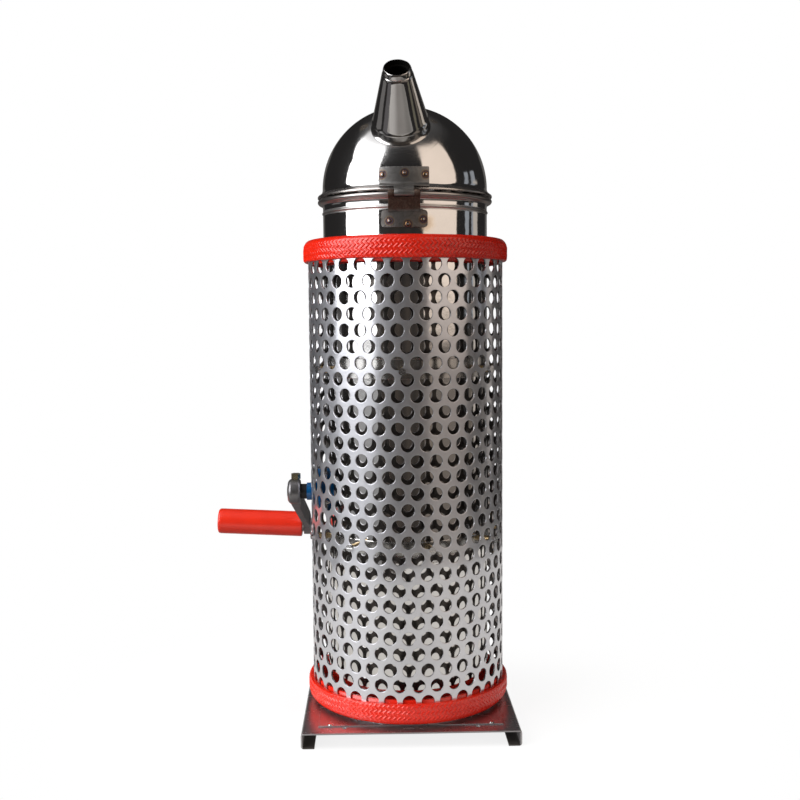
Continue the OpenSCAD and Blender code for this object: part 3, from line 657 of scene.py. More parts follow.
for look, piece_names in PIECES.items():
    for piece_name in piece_names.split():
        slots = NODES[piece_name].data.materials
        slots.clear()
        slots.append(MATS[look])


# ---------------------------------------------------------------- outlines
def line(start, end, steps):
    """Evenly spaced points from start to end, both included."""
    return [tuple(first + (last - first) * i / steps for first, last in zip(start, end))
            for i in range(steps + 1)]


def shifted(points, radius=0.0, height=0.0):
    return [(radius + r, height + z) for r, z in points]


def arc(centre_r, centre_z, radius, start, end, steps):
    """Points on an arc in the (r, z) plane, with angles in degrees."""
    angles = [math.radians(start + (end - start) * i / steps) for i in range(steps + 1)]
    return [(centre_r + radius * math.cos(angle), centre_z + radius * math.sin(angle))
            for angle in angles]


def catmull_rom(before, start, end, after, t):
    return 0.5 * (2 * start + (end - before) * t
                  + (2 * before - 5 * start + 4 * end - after) * t * t
                  + (3 * start - before - 3 * end + after) * t ** 3)


def smooth_path(points, steps):
    """A smooth curve through the points, with steps pieces between neighbours."""
    curve = []
    last = len(points) - 1
    for i in range(last):
        ends = (points[max(i - 1, 0)], points[i], points[i + 1], points[min(i + 2, last)])
        for k in range(steps):
            curve.append(tuple(catmull_rom(*values, k / steps) for values in zip(*ends)))
    curve.append(tuple(points[-1]))
    return curve


def clamp01(value):
    return min(1.0, max(0.0, value))


def waver(x, y, z):
    return noise.noise(Vector((x, y, z)))


# ---------------------------------------------------------------- meshes
def add_object(name, mesh, material=None):
    ob = bpy.data.objects.new(name, mesh)
    bpy.context.scene.collection.objects.link(ob)
    if material:
        mesh.materials.append(material)
    return ob


def object_from(bm, name, material=None):
    mesh = bpy.data.meshes.new(name)
    bm.to_mesh(mesh)
    bm.free()
    return add_object(name, mesh, material)


def new_mesh(name, verts, faces, material):
    mesh = bpy.data.meshes.new(name)
    mesh.from_pydata([mm(*vert) for vert in verts], [], faces)
    mesh.validate(clean_customdata=False)
    mesh.update()
    mesh.shade_smooth()
    return add_object(name, mesh, material)


def distinct(face):
    return list(dict.fromkeys(face))


def fix_normals(ob):
    bm = bmesh.new()
    bm.from_mesh(ob.data)
    bmesh.ops.recalc_face_normals(bm, faces=bm.faces)
    bm.to_mesh(ob.data)
    bm.free()


def sharpen(ob, angle):
    """Keeps edges steeper than the angle crisp and shades the rest smooth."""
    bm = bmesh.new()
    bm.from_mesh(ob.data)
    limit = math.radians(angle)
    for edge in bm.edges:
        if len(edge.link_faces) == 2:
            edge.smooth = edge.calc_face_angle(0.0) < limit
    for face in bm.faces:
        face.smooth = True
    bm.to_mesh(ob.data)
    bm.free()


def lathe(name, outline, material, segments, sharp, frame=None, wobble=None):
    """Revolves a closed outline of (r, z) about Z. Points at r = 0 become poles."""
    verts, rings = [], []
    for radius, z in outline:
        if radius < 1e-6:
            rings.append([len(verts)] * segments)
            verts.append(Vector((0, 0, z)))
            continue
        ring = []
        for i in range(segments):
            angle = 2 * math.pi * i / segments
            reach = radius + (wobble(angle, z) if wobble else 0.0)
            ring.append(len(verts))
            verts.append(Vector((reach * math.sin(angle), -reach * math.cos(angle), z)))
        rings.append(ring)

    faces = []
    for this, other in zip(rings, rings[1:] + rings[:1]):
        if this[0] == this[1] and other[0] == other[1]:
            continue
        for i in range(segments):
            j = (i + 1) % segments
            face = distinct([this[i], this[j], other[j], other[i]])
            if len(face) > 2:
                faces.append(face)
    if frame is not None:
        verts = [frame @ vert for vert in verts]
    ob = new_mesh(name, verts, faces, material)
    fix_normals(ob)
    sharpen(ob, sharp)
    return ob


def sweep(name, stations, material, closed=False, turn=None):
    """Skins equal closed outlines. A closed sweep joins its ends, an open one is capped."""
    count, size = len(stations), len(stations[0])
    faces = []
    for i in range(count if closed else count - 1):
        here, there = i * size, (i + 1) % count * size
        for k in range(size):
            after = (k + 1) % size
            faces.append((here + k, there + k, there + after, here + after))
    if not closed:
        last = (count - 1) * size
        faces.append(tuple(range(size)))
        faces.append(tuple(range(last, last + size))[::-1])
    ob = new_mesh(name, [vert for station in stations for vert in station], faces, material)
    if turn:
        ob.data.transform(turn)
    fix_normals(ob)
    return ob


def bake(ob):
    """Replaces the mesh with its modified shape."""
    graph = bpy.context.evaluated_depsgraph_get()
    mesh = bpy.data.meshes.new_from_object(ob.evaluated_get(graph))
    ob.modifiers.clear()
    old = ob.data
    ob.data = mesh
    bpy.data.meshes.remove(old)


def drill(ob, radius, centre, axis, length, segments):
    """Cuts a round hole along the axis."""
    bm = bmesh.new()
    bmesh.ops.create_cone(bm, cap_ends=True, segments=segments, radius1=radius * MM,
                          radius2=radius * MM, depth=length * MM)
    cutter = object_from(bm, "cutter")
    turn = Vector(axis).to_track_quat("Z", "Y").to_matrix().to_4x4()
    cutter.data.transform(Matrix.Translation(Vector(centre) * MM) @ turn)
    boolean = ob.modifiers.new("cut", "BOOLEAN")
    boolean.operation, boolean.solver, boolean.object = "DIFFERENCE", "EXACT", cutter
    bake(ob)
    bpy.data.objects.remove(cutter)


def join(name, obs):
    bm = bmesh.new()
    for ob in obs:
        bm.from_mesh(ob.data)
    material = obs[0].data.materials[0]
    joined = object_from(bm, name, material)
    for ob in obs:
        bpy.data.objects.remove(ob)
    return joined


def bevel(ob, width):
    modifier = ob.modifiers.new("bevel", "BEVEL")
    modifier.width = width * MM
    modifier.segments = 2
    modifier.limit_method = "ANGLE"
    modifier.angle_limit = math.radians(35)


def install(ob, body, node, lower=True):
    """Hands a piece over as the look of a CAD piece, lowered from ground heights."""
    if lower:
        ob.data.transform(Matrix.Translation((0, 0, -ORIGIN_Z)))
    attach(ob, body)
    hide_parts(node)


# ---------------------------------------------------------------- guard cage
HOLE_R = 5.0
CELL_SIDE_STEPS = 6
# hole radius, distance from the axis: rounded outside, straight, eased inside
HOLE_RINGS = [(HOLE_R + 0.27, CAGE_RO), (HOLE_R + 0.08, CAGE_RO - 0.07),
              (HOLE_R, CAGE_RO - 0.27), (HOLE_R, CAGE_RI + 0.25), (HOLE_R + 0.12, CAGE_RI)]


def flatten_cage_normals(mesh):
    """Gives the curved faces truly radial normals, so that cells don't show in reflections."""
    normals = [corner.vector.copy() for corner in mesh.corner_normals]
    for face in mesh.polygons:
        radial = Vector((face.center.x, face.center.y, 0)).normalized()
        facing = face.normal.dot(radial)
        if abs(facing) > 0.97:
            sign = 1.0 if facing > 0 else -1.0
            for i in face.loop_indices:
                co = mesh.vertices[mesh.loops[i].vertex_index].co
                normals[i] = Vector((co.x, co.y, 0)).normalized() * sign
    mesh.normals_split_custom_set(normals)


def build_cage():
    """Hexagonal cells, each round a punched hole, with the end rows squared off."""
    pitch = 2 * math.pi * CAGE_RO / HOLES_ROUND
    tip_z = ROW_PITCH / 2 + pitch * pitch / (8 * ROW_PITCH)
    side_z = ROW_PITCH - tip_z
    corners = [(pitch / 2, -side_z), (pitch / 2, side_z), (0, tip_z),
               (-pitch / 2, side_z), (-pitch / 2, -side_z), (0, -tip_z)]
    cell = []
    for start, end in zip(corners, corners[1:] + corners[:1]):
        cell += line(start, end, CELL_SIDE_STEPS)[:-1]
    size = len(cell)
    angles = [math.atan2(z, across) for across, z in cell]
    # stretches of cell outline, first and last row, that run on to a straight edge
    straight_edges = {
        0: (range(CELL_SIDE_STEPS, 3 * CELL_SIDE_STEPS), CAGE_TOP),
        ROWS - 1: (range(4 * CELL_SIDE_STEPS, 6 * CELL_SIDE_STEPS), CAGE_FOOT)}
    verts, faces, shared = [], [], {}
    first_angle = math.radians(FIRST_HOLE_AZ)

    def vert(across, z, radius):
        angle = first_angle + across / CAGE_RO
        verts.append((radius * math.sin(angle), -radius * math.cos(angle), z))
        return len(verts) - 1

    def cell_vert(across, z, outer):
        """A vertex that neighbouring cells share."""
        column = round(across / (pitch / (2 * CELL_SIDE_STEPS)))
        key = (column % (HOLES_ROUND * 2 * CELL_SIDE_STEPS), round(z * 100), outer)
        if key not in shared:
            shared[key] = vert(across, z, CAGE_RO if outer else CAGE_RI)
        return shared[key]

    for row in range(ROWS):
        centre_z = TOP_ROW_Z - ROW_PITCH * row
        for i in range(HOLES_ROUND):
            centre = (i - 0.5 * (row % 2)) * pitch
            points = [(centre + across, min(centre_z + z, CAGE_TOP)) for across, z in cell]
            outside = [cell_vert(across, z, 1) for across, z in points]
            inside = [cell_vert(across, z, 0) for across, z in points]
            loops = [[vert(centre + hole * math.cos(angle), centre_z + hole * math.sin(angle),
                           radius) for angle in angles] for hole, radius in HOLE_RINGS]
            skin = [outside] + loops + [inside]
            for this, other in zip(skin, skin[1:]):
                for j in range(size):
                    after = (j + 1) % size
                    faces.append((this[j], this[after], other[after], other[j]))

            sides, level = straight_edges.get(row, ((), 0.0))
            for j in sides:
                after = (j + 1) % size
                start, end = points[j][0], points[after][0]
                out0, out1 = cell_vert(start, level, 1), cell_vert(end, level, 1)
                in0, in1 = cell_vert(start, level, 0), cell_vert(end, level, 0)
                outer_face = distinct([out0, out1, outside[after], outside[j]])
                if len(outer_face) > 2:
                    faces.append(outer_face)
                inner_face = distinct([in0, in1, inside[after], inside[j]])
                if len(inner_face) > 2:
                    faces.append(inner_face[::-1])
                faces.append((out0, in0, in1, out1))

    ob = new_mesh("guard_cage_punched", verts, faces, MATS["cage"])
    fix_normals(ob)
    drill(ob, radius=9.0, centre=(-76, 0, CRANK_Z), axis=(-1, 0, 0), length=12.0, segments=96)
    sharpen(ob, 32)
    flatten_cage_normals(ob.data)
    install(ob, "chassis", "guard_cage")


# ---------------------------------------------------------------- edge trims
TRIM_R = 80.15
TRIM_SEGMENTS = 1680
FACE_STEPS = 56
ZIGZAGS = 140              # embossed lines round a trim
ZIGZAG_PITCH = 3.6
ZIGZAG_SWING = 1.35
ZIGZAG_HEIGHT = 4.6
RIDGE_HALF = 1.05


def trim_outline(leg):
    """(r, z) of a channel round the cage's edge. Points 3 to 59 are its outer face."""
    # height, offset from TRIM_R
    swell = [(0.0, -4.6), (0.4, -3.5), (1.2, -2.4), (2.4, -1.4), (4.0, -0.6), (6.0, -0.15),
             (8.0, 0.0), (leg - 4, 0.0), (leg - 1.8, -0.15), (leg - 0.6, -0.5), (leg, -1.2)]

    def face_radius(z):
        for (low, below), (high, above) in zip(swell, swell[1:]):
            if z <= high:
                return TRIM_R + below + (above - below) * (z - low) / (high - low)

    edge = [(CAGE_RO + 0.05, leg), (TRIM_R - 1.6, leg + 0.05), (TRIM_R - 1.2, leg - 0.02)]
    heights = [leg - 0.2 - (leg - 1.2) * i / FACE_STEPS for i in range(FACE_STEPS + 1)]
    face = [(face_radius(z), z) for z in heights]
    foot = smooth_path([(TRIM_R - 2.7, 0.95), (TRIM_R - 3.5, 0.4), (TRIM_R - 4.6, 0.05),
                        (CAGE_RI - 0.8, 0.0), (CAGE_RI - 1.9, 0.35), (CAGE_RI - 2.5, 1.5)], 4)
    inner = line((CAGE_RI - 2.5, 1.5), (CAGE_RI - 2.5, leg + 0.2), 8)
    lip = [(CAGE_RI - 2.4, leg + 1.5), (CAGE_RI - 1.9, leg + 2.0), (CAGE_RI - 0.5, leg + 2.0),
           (CAGE_RI - 0.05, leg + 1.6), (CAGE_RI - 0.05, 1.4), (CAGE_RO + 0.05, 1.4)]
    return edge + face + foot[1:] + inner[1:] + lip


def emboss(angle, sine, cosine, z, leg):
    """Radial offset of the zigzag pattern, faded out at the trim's edges."""
    mask = clamp01((z - 2.6) / 1.6) * clamp01((leg - 0.35 - z) / 0.6)
    level = z / ZIGZAG_HEIGHT + 0.12 * math.sin(5 * angle)
    triangle = 4 * abs(level - math.floor(level) - 0.5) - 1
    phase = (ZIGZAGS * angle / (2 * math.pi) + ZIGZAG_SWING / ZIGZAG_PITCH * triangle
             + 0.07 * waver(sine * 11, cosine * 11, z * 0.3))
    off_line = abs(phase - math.floor(phase) - 0.5) * ZIGZAG_PITCH
    ridge = max(0.0, 1 - off_line / RIDGE_HALF)
    ridge = ridge * ridge * (3 - 2 * ridge)
    depth = 0.42 + 0.22 * waver(sine * 5, cosine * 5, 7.0)
    return mask * (-0.30 + depth * ridge
                   + 0.05 * math.sin(2 * math.pi * z / 5.7 + 3 * math.sin(9 * angle))
                   + 0.14 * waver(sine * 42, cosine * 42, z * 0.55))


def build_trim(name, node, leg, on_top):
    outline = trim_outline(leg)
    stations = []
    for i in range(TRIM_SEGMENTS):
        angle = 2 * math.pi * i / TRIM_SEGMENTS
        sine, cosine = math.sin(angle), math.cos(angle)
        wave = (0.16 * math.sin(3 * angle + 0.6) + 0.10 * math.sin(7 * angle + 2.1)
                + 0.07 * math.sin(17 * angle + 1.3))
        station = []
        for k, (radius, z) in enumerate(outline):
            relief = 0.0
            if radius > TRIM_R - 1.3 and z > 1.9 and 3 <= k < 60:
                relief = emboss(angle, sine, cosine, z, leg)
            reach = radius + relief + 0.4 * wave * (0.3 + 0.7 * min(1.0, z / leg))
            height = z + ((wave * 0.9 + 0.12 * waver(sine * 14, cosine * 14, 3.0))
                          * clamp01((z - 6) / (leg - 6)) * (1.0 if radius > CAGE_RO else 0.4))
            if on_top:
                height = CAGE_TOP + TRIM_LAP - height
            else:
                height = CAGE_FOOT - TRIM_LAP + height
            station.append((reach * sine, -reach * cosine, height))
        stations.append(station)
    ob = sweep(name, stations, MATS["trim"], closed=True)
    sharpen(ob, 50)
    install(ob, "chassis", node)


# ---------------------------------------------------------------- cans
FIRE_FOOT, FIRE_WALL_TOP = 282.05, 397.0
FAN_FOOT, FAN_TOP = 143.0, 282.0
LOWER_FOOT, LOWER_TOP = 12.42, 142.9
# offset from CAN_R, height: the bead under the fire can's rim
FIRE_BEAD = [(0, 397.2), (0.28, 397.6), (0.62, 398.1), (0.66, 398.5), (0.5, 398.95),
             (0.12, 399.3), (0, 399.6)]
# offset from CAN_R, height: over the rolled rim and down the inside
FIRE_RIM = [(0, 400.2), (0, 402.4), (0.3, 403.7), (1.2, 404.5), (2.6, 405.1), (3.5, 405.8),
            (3.95, 406.8), (3.8, 407.8), (3.2, 408.5), (2.4, 408.8), (1.6, 408.5), (1.3, 407.6),
            (1.2, 406.8), (0.4, 405.9), (-SHEET, 404.6), (-SHEET, 402.0)]


def dent(seed, depth):
    """Slight unevenness of a rolled wall, as a wobble for lathe()."""
    offset = Vector((seed * 3.1, seed * 1.7, seed * 0.9))

    def wobble(angle, z):
        sine, cosine = math.sin(angle), math.cos(angle)
        broad = noise.noise(Vector((sine * 1.6, cosine * 1.6, z / 38.0)) + offset)
        small = noise.noise(Vector((sine * 5, cosine * 5, z / 14.0)) + offset)
        return depth * broad + 0.35 * depth * small
    return wobble


def build_fire_can():
    outline = (line((CAN_R, FIRE_FOOT), (CAN_R, FIRE_WALL_TOP), 48)
               + smooth_path(shifted(FIRE_BEAD, CAN_R), 3)
               + smooth_path(shifted(FIRE_RIM, CAN_R), 4)
               + line((CAN_RI, 402.0), (CAN_RI, FIRE_FOOT), 24)[1:])
    ob = lathe("fire_can_shell", outline, MATS["can"], segments=320, sharp=60,
               wobble=dent(seed=2.0, depth=0.10))
    install(ob, "chassis", "fire_can")


def build_fan_can():
    outline = (line((CAN_R, FAN_FOOT), (CAN_R, FAN_TOP), 40)
               + line((CAN_RI, FAN_TOP), (CAN_RI, FAN_FOOT), 20))
    ob = lathe("fan_can_shell", outline, MATS["can"], segments=256, sharp=60,
               wobble=dent(seed=5.0, depth=0.12))
    drill(ob, radius=9.1, centre=(-64, 0, CRANK_Z), axis=(-1, 0, 0), length=14.0, segments=64)
    sharpen(ob, 50)
    install(ob, "chassis", "fan_can")


def build_lower_can():
    """Closed at the foot, with five holes round the back and right and four in the floor."""
    foot = LOWER_FOOT
    outline = ([(0, foot), (CAN_R - 1.4, foot), (CAN_R - 0.4, foot + 0.4)]
               + line((CAN_R, foot + 1.4), (CAN_R, LOWER_TOP), 40)
               + line((CAN_RI, LOWER_TOP), (CAN_RI, foot + 2.2), 20)
               + [(CAN_RI - 0.6, foot + 1.1), (CAN_RI - 1.4, foot + SHEET), (0, foot + SHEET)])
    ob = lathe("lower_can_shell", outline, MATS["can"], segments=256, sharp=60,
               wobble=dent(seed=8.0, depth=0.12))
    for k in range(5):
        azimuth = 120 + 24 * k
        drill(ob, radius=6.0, centre=az_point(azimuth, 65, 30), axis=az_point(azimuth, 1, 0),
              length=20.0, segments=48)
    for k in range(4):
        angle = math.radians(45 + 90 * k)
        drill(ob, radius=2.1, centre=(45 * math.cos(angle), 45 * math.sin(angle), 12.5),
              axis=(0, 0, 1), length=10.0, segments=32)
    sharpen(ob, 50)
    install(ob, "chassis", "lower_can")


def build_band(name, node, low, high, ease):
    """A ring round the cans, its outer corners cut back by ease."""
    inner, outer = CAN_R + 0.05, CAN_R + 1.25
    outline = ([(inner, low + 0.15), (inner + 0.15, low), (outer - ease, low)]
               + line((outer, low + ease), (outer, high - ease), 8)
               + [(outer - ease, high), (inner + 0.15, high), (inner, high - 0.15)])
    ob = lathe(name, outline, MATS["satin"], segments=256, sharp=40,
               wobble=dent(seed=low / 20, depth=0.06))
    install(ob, "chassis", node)


# ---------------------------------------------------------------- lid and spout
# offset from DOME_R, offset from DOME_Z: out over the flared rim and back inside
DOME_RIM = [(0, 0), (0.15, -1), (0.6, -2.2), (1.5, -3.3), (2.7, -4.2), (3.55, -4.8),
            (3.9, -5.5), (3.88, -6.3), (3.55, -6.62), (3.15, -6.35), (3.0, -5.5), (2.1, -4.95),
            (0.8, -3.9), (-0.2, -2.8), (-0.7, -1.4), (-SHEET, 0)]
# offset from CONE_R, offset from CONE_FOOT: the rounded foot of the cone
CONE_LIP = [(-0.2, -0.25), (0.85, -0.2), (1.3, 0.15), (1.25, 0.6), (1.0, 1.1)]
# offset from SPOUT_R1, offset from SPOUT_TIP: the turned band round the mouth
MOUTH_BAND = [(2.45, -4.5), (2.15, -4.0), (2.2, -3.3), (1.75, -1.2), (1.35, -0.25), (1.1, 0),
              (0.85, -0.2), (0.7, -0.9), (0.4, -3.4)]


def build_dome():
    outline = (arc(0, DOME_Z, DOME_R, 90, 0, 72)
               + smooth_path(shifted(DOME_RIM, DOME_R, DOME_Z), 4)[1:-1]
               + arc(0, DOME_Z, DOME_R - SHEET, 0, 90, 60))

    def wobble(angle, z):
        return 0.07 * waver(math.sin(angle) * 1.4, math.cos(angle) * 1.4, z / 30)

    ob = lathe("lid_dome_shell", outline, MATS["dome"], segments=320, sharp=60, wobble=wobble)
    drill(ob, radius=19.0, centre=SPOUT_FRAME @ Vector((0, 0, 60)),
          axis=SPOUT_FRAME.to_3x3() @ Vector((0, 0, 1)), length=30.0, segments=96)
    sharpen(ob, 60)
    install(ob, "lid", "lid_dome")


def build_spout_cone():
    """The cone with its mouth band, sooty inside and painted near-black there as shade."""
    outside = (shifted(CONE_LIP, CONE_R, CONE_FOOT)
               + line((CONE_R + 0.95, CONE_FOOT), (SPOUT_R1 + 1.65, SPOUT_TIP), 40)[2:36])
    band = smooth_path(shifted(MOUTH_BAND, SPOUT_R1, SPOUT_TIP), 4)
    inside = line((SPOUT_R1 - 0.8, SPOUT_TIP - 4.2), (CONE_R - 0.8, CONE_FOOT), 20)
    outline = outside + band + inside + [(CONE_R - 0.55, CONE_FOOT)]
    segments = 256

    def wobble(angle, z):
        """Out of round, growing towards the mouth."""
        along = max(0.0, (z - CONE_FOOT) / SPOUT_LEN)
        oval = (0.22 * math.sin(2 * angle + 0.7) + 0.10 * math.sin(3 * angle + 2.0)
                + 0.05 * math.sin(9 * angle))
        return oval * along + 0.05 * waver(math.sin(angle) * 2, math.cos(angle) * 2, z / 12)

    ob = lathe("spout_cone_shell", outline, MATS["spout"], segments, sharp=45,
               frame=SPOUT_FRAME, wobble=wobble)
    ob.data.materials.append(MATS["soot_and_shade"])
    # the rings inside the mouth and the cone take the soot and painted shade
    first_soot_and_shade_row = len(outside) + len(band) - 12
    last_soot_and_shade_row = len(outline) - 2
    for face in ob.data.polygons:
        if first_soot_and_shade_row <= face.index // segments <= last_soot_and_shade_row:
            face.material_index = 1
    install(ob, "lid", "spout_cone")


def build_spout_collar():
    """A flared sleeve from the dome onto the cone."""
    seat_r = DOME_R + 0.03
    foot_r = 22.2
    foot = math.sqrt(seat_r * seat_r - foot_r * foot_r)
    inner_r = SPOUT_R0 - 0.4
    top_r = SPOUT_R0 - 9.5 * SPOUT_TAPER
    outside = smooth_path([
        (foot_r, foot), (foot_r - 0.1, foot + 0.35), (SPOUT_R0 + 0.15, SPOUT_FOOT + 0.55),
        (SPOUT_R0 - 0.75, SPOUT_FOOT + 1.7), (SPOUT_R0 - 1.6, SPOUT_FOOT + 3.6),
        (CONE_R - 0.95, SPOUT_FOOT + 6.3), (top_r - 0.95, SPOUT_FOOT + 9.5)], 4)
    inside = smooth_path([
        (top_r - 1.75, SPOUT_FOOT + 9.5), (CONE_R - 1.75, SPOUT_FOOT + 6.3),
        (SPOUT_R0 - 2.4, SPOUT_FOOT + 3.6), (SPOUT_R0 - 1.5, SPOUT_FOOT + 1.6),
        (inner_r, math.sqrt(seat_r * seat_r - inner_r ** 2))], 4)
    ob = lathe("spout_collar_shell", outside + inside, MATS["collar"], segments=256, sharp=50,
               frame=SPOUT_FRAME)
    install(ob, "lid", "spout_collar")


# ---------------------------------------------------------------- hinge
LEAF_LOW, LEAF_HIGH = 382.9, 395.6       # lower leaf's plate
UPPER_LEAF_TOP = 426.8
LOWER_HALF, UPPER_HALF = 11.75, 7.15     # half-widths of the necks at the knuckles
# y, z round the lower leaf's neck
LOWER_NECK = [(-64.8, 394), (-64.85, 396.8), (-66.0, 399.0), (-67.6, 401.6), (-68.45, 403.2),
              (-68.45, 406.3), (-69.4, 407.4), (-71, 406.5), (-72.6, 406.2), (-73.2, 405.9),
              (-71.6, 404.4), (-70, 402.8), (-67.6, 398.6), (-65.9, 395.2), (-65.6, 394)]
# y, z round the upper leaf's neck
UPPER_NECK = [(-68.7, 412.7), (-68.7, 407.8), (-69.6, 406.6), (-71, 406.0), (-73.2, 407.3),
              (-72.0, 408.9), (-70.8, 409.9), (-69.9, 411), (-69.75, 412.7)]
# offset from DOME_R, height: faces of the upper leaf's plate
UPPER_LEAF_OUTER = [(0.05, 426.75), (0.42, 426.6), (0.75, 424.5), (1.15, 421.0), (1.3, 416.9),
                    (1.45, 415.4), (2.2, 414.3), (3.7, 413.45), (4.9, 413.1), (5.35, 412.85),
                    (5.42, 412.4), (5.3, 412.0), (4.7, 411.9)]
UPPER_LEAF_INNER = [(4.25, 411.9), (2.9, 412.4), (1.65, 413.3), (0.75, 414.4), (0.2, 415.7),
                    (0.06, 416.8), (-0.05, 421.5), (-0.7, 426.7)]


def curved_plate(outline, half, corner, material, low=None, high=None):
    """A closed (r, z) outline carried across x, its corners rounded at low and high."""
    columns = 48
    stations = []
    for i in range(columns + 1):
        across = -1 + 2 * i / columns
        station = []
        for radius, z in outline:
            width = half
            for end, sign in ((low, 1), (high, -1)):
                if end is None:
                    continue
                into = corner - (z - end) * sign
                if into > 0:
                    inset = math.sqrt(max(0.0, corner * corner - min(into, corner) ** 2))
                    width = min(width, half - corner + inset)
            x = across * width
            station.append((x, -math.sqrt(radius * radius - x * x), z))
        stations.append(station)
    return sweep("leaf_plate", stations, material, turn=HEAD_TURN)


def strap(outline, half, waist, material):
    """A closed (y, z) outline carried across x, narrowed by waist at mid height."""
    columns = 16
    heights = [z for _, z in outline]
    low, high = min(heights), max(heights)
    stations = []
    for i in range(columns + 1):
        across = -1 + 2 * i / columns
        stations.append([
            (across * (half - waist * math.sin(math.pi * (z - low) / (high - low)) ** 2), y, z)
            for y, z in outline])
    return sweep("leaf_neck", stations, material, turn=HEAD_TURN)


def knuckle(start, end, material):
    radius, bore, ease = 2.5, 1.55, 0.3
    outline = [(bore, start), (radius - ease, start), (radius - 0.08, start + 0.12),
               (radius, start + ease), (radius, end - ease), (radius - 0.08, end - 0.12),
               (radius - ease, end), (bore, end)]
    frame = HEAD_TURN @ Matrix.Translation((0, HINGE_Y, HINGE_Z)) @ SIDEWAYS
    return lathe("knuckle", outline, material, segments=48, sharp=40, frame=frame)


def build_lower_leaf():
    material = MATS["rust"]
    back = CAN_R + 0.06
    front = back + 1.2
    outline = (line((back, LEAF_LOW), (back, LEAF_HIGH), 24)[::-1]
               + [(front - 0.25, LEAF_LOW)]
               + line((front, LEAF_LOW + 0.2), (front, LEAF_HIGH - 0.2), 24)
               + [(front - 0.25, LEAF_HIGH)])
    plate = curved_plate(outline, half=17.0, corner=2.6, material=material,
                         low=LEAF_LOW, high=LEAF_HIGH)
    neck = strap(LOWER_NECK, half=LOWER_HALF, waist=0.35, material=material)
    left = knuckle(-LOWER_HALF, -7.35, material)
    right = knuckle(7.35, LOWER_HALF, material)
    # the gap for the middle knuckle
    drill(neck, radius=2.85, centre=HEAD_TURN @ Vector((0, HINGE_Y, HINGE_Z)),
          axis=HEAD_TURN.to_3x3() @ Vector((1, 0, 0)), length=14.7, segments=48)
    ob = join("hinge_lower_plate", [plate, neck, left, right])
    sharpen(ob, 35)
    bevel(ob, width=0.18)
    install(ob, "chassis", "hinge_lower_leaf")


def build_upper_leaf():
    material = MATS["hinge"]
    outline = (smooth_path(shifted(UPPER_LEAF_OUTER, DOME_R), 4)
               + smooth_path(shifted(UPPER_LEAF_INNER, DOME_R), 4))
    plate = curved_plate(outline, half=18.3, corner=0.9, material=material, high=UPPER_LEAF_TOP)
    neck = strap(UPPER_NECK, half=UPPER_HALF, waist=0.1, material=material)
    ob = join("hinge_upper_plate", [plate, neck, knuckle(-UPPER_HALF, UPPER_HALF, material)])
    sharpen(ob, 35)
    bevel(ob, width=0.15)
    install(ob, "lid", "hinge_upper_leaf")


def build_rivets(side, places, radii, body):
    """Shallow domed heads, each a little different, sunk into the leaf."""
    heads = []
    for k, (place, radius) in enumerate(zip(places, radii)):
        centre = Vector(place)
        if side == "upper":
            outward = (centre - Vector((0, 0, DOME_Z))).normalized()
        else:
            outward = Vector((centre.x, centre.y, 0)).normalized()
        frame = Matrix.Translation(centre) @ outward.to_track_quat("Z", "Y").to_matrix().to_4x4()
        outline = [(radius + 0.05, -0.5), (radius, -0.05), (radius - 0.12, 0.10),
                   (radius * 0.8, 0.20), (radius * 0.62, 0.22), (radius * 0.5, 0.34),
                   (radius * 0.3, 0.42), (0.02, 0.45), (0.02, -0.5)]

        def wobble(angle, z, k=k):
            return 0.05 * math.sin(2 * angle + k * 1.7) + 0.03 * math.sin(5 * angle + k)

        heads.append(lathe(side + str(k), outline, MATS["weld_" + side], segments=40, sharp=60,
                           frame=frame, wobble=wobble))
    install(join("rivet_heads_" + side, heads), body, f"hinge_{side}_rivets")


# ---------------------------------------------------------------- crank
GRIP_LEN, GRIP_R = 69.7, 10.3
GRIP_INNER_X = -86.2                     # end of the grip nearest the crank arm
# lies along X, starting at the grip's outer end
GRIP_AXIS = GRIP_FRAME @ Matrix.Translation((GRIP_INNER_X - GRIP_LEN, 0, 0)) @ SIDEWAYS


def build_grip():
    radius, length = GRIP_R, GRIP_LEN
    outer_end = smooth_path([(6.55, 0.15), (radius - 2.0, 0.0), (radius - 0.95, 0.35),
                             (radius - 0.25, 1.2), (radius, 2.6)], 5)
    barrel = [(radius + 0.02 * math.sin(i * 0.9), 2.6 + (length - 4.4) * i / 30)
              for i in range(1, 30)]
    inner_end = smooth_path([(radius, length - 1.5), (radius - 0.12, length - 0.7),
                             (radius - 0.5, length - 0.15), (radius - 1.1, length),
                             (6.6, length)], 5)
    bore = [(4.05, length - 0.1), (4.05, 6.3), (6.5, 6.2), (6.5, 0.5)]
    ob = lathe("grip_sleeve", outer_end + barrel + inner_end + bore, MATS["grip"],
               segments=192, sharp=40, frame=GRIP_AXIS)
    install(ob, "grip", "grip")


def build_grip_cap():
    crown = smooth_path([(0.0, -0.6), (1.5, -0.58), (3.0, -0.47), (5.2, -0.12), (6.2, 0.25),
                         (6.45, 0.9)], 5)
    ob = lathe("grip_cap", crown + [(6.45, 2.8), (0.0, 2.8)], MATS["grip"], segments=128,
               sharp=50, frame=GRIP_AXIS)
    install(ob, "grip", "grip_end_cap")


def build_crank_arm():
    """The CAD arm with its edges melted like a casting's."""
    ob = add_object("crank_arm_casting", NODES["crank_arm"].data.copy())
    remesh = ob.modifiers.new("skin", "REMESH")
    remesh.mode = "VOXEL"
    remesh.voxel_size = 0.34 * MM
    remesh.use_smooth_shade = True
    smooth = ob.modifiers.new("soften", "SMOOTH")
    smooth.factor = 0.5
    smooth.iterations = 5
    bake(ob)
    ob.data.materials.clear()
    ob.data.materials.append(MATS["cast"])
    ob.data.shade_smooth()
    install(ob, "crank", "crank_arm", lower=False)


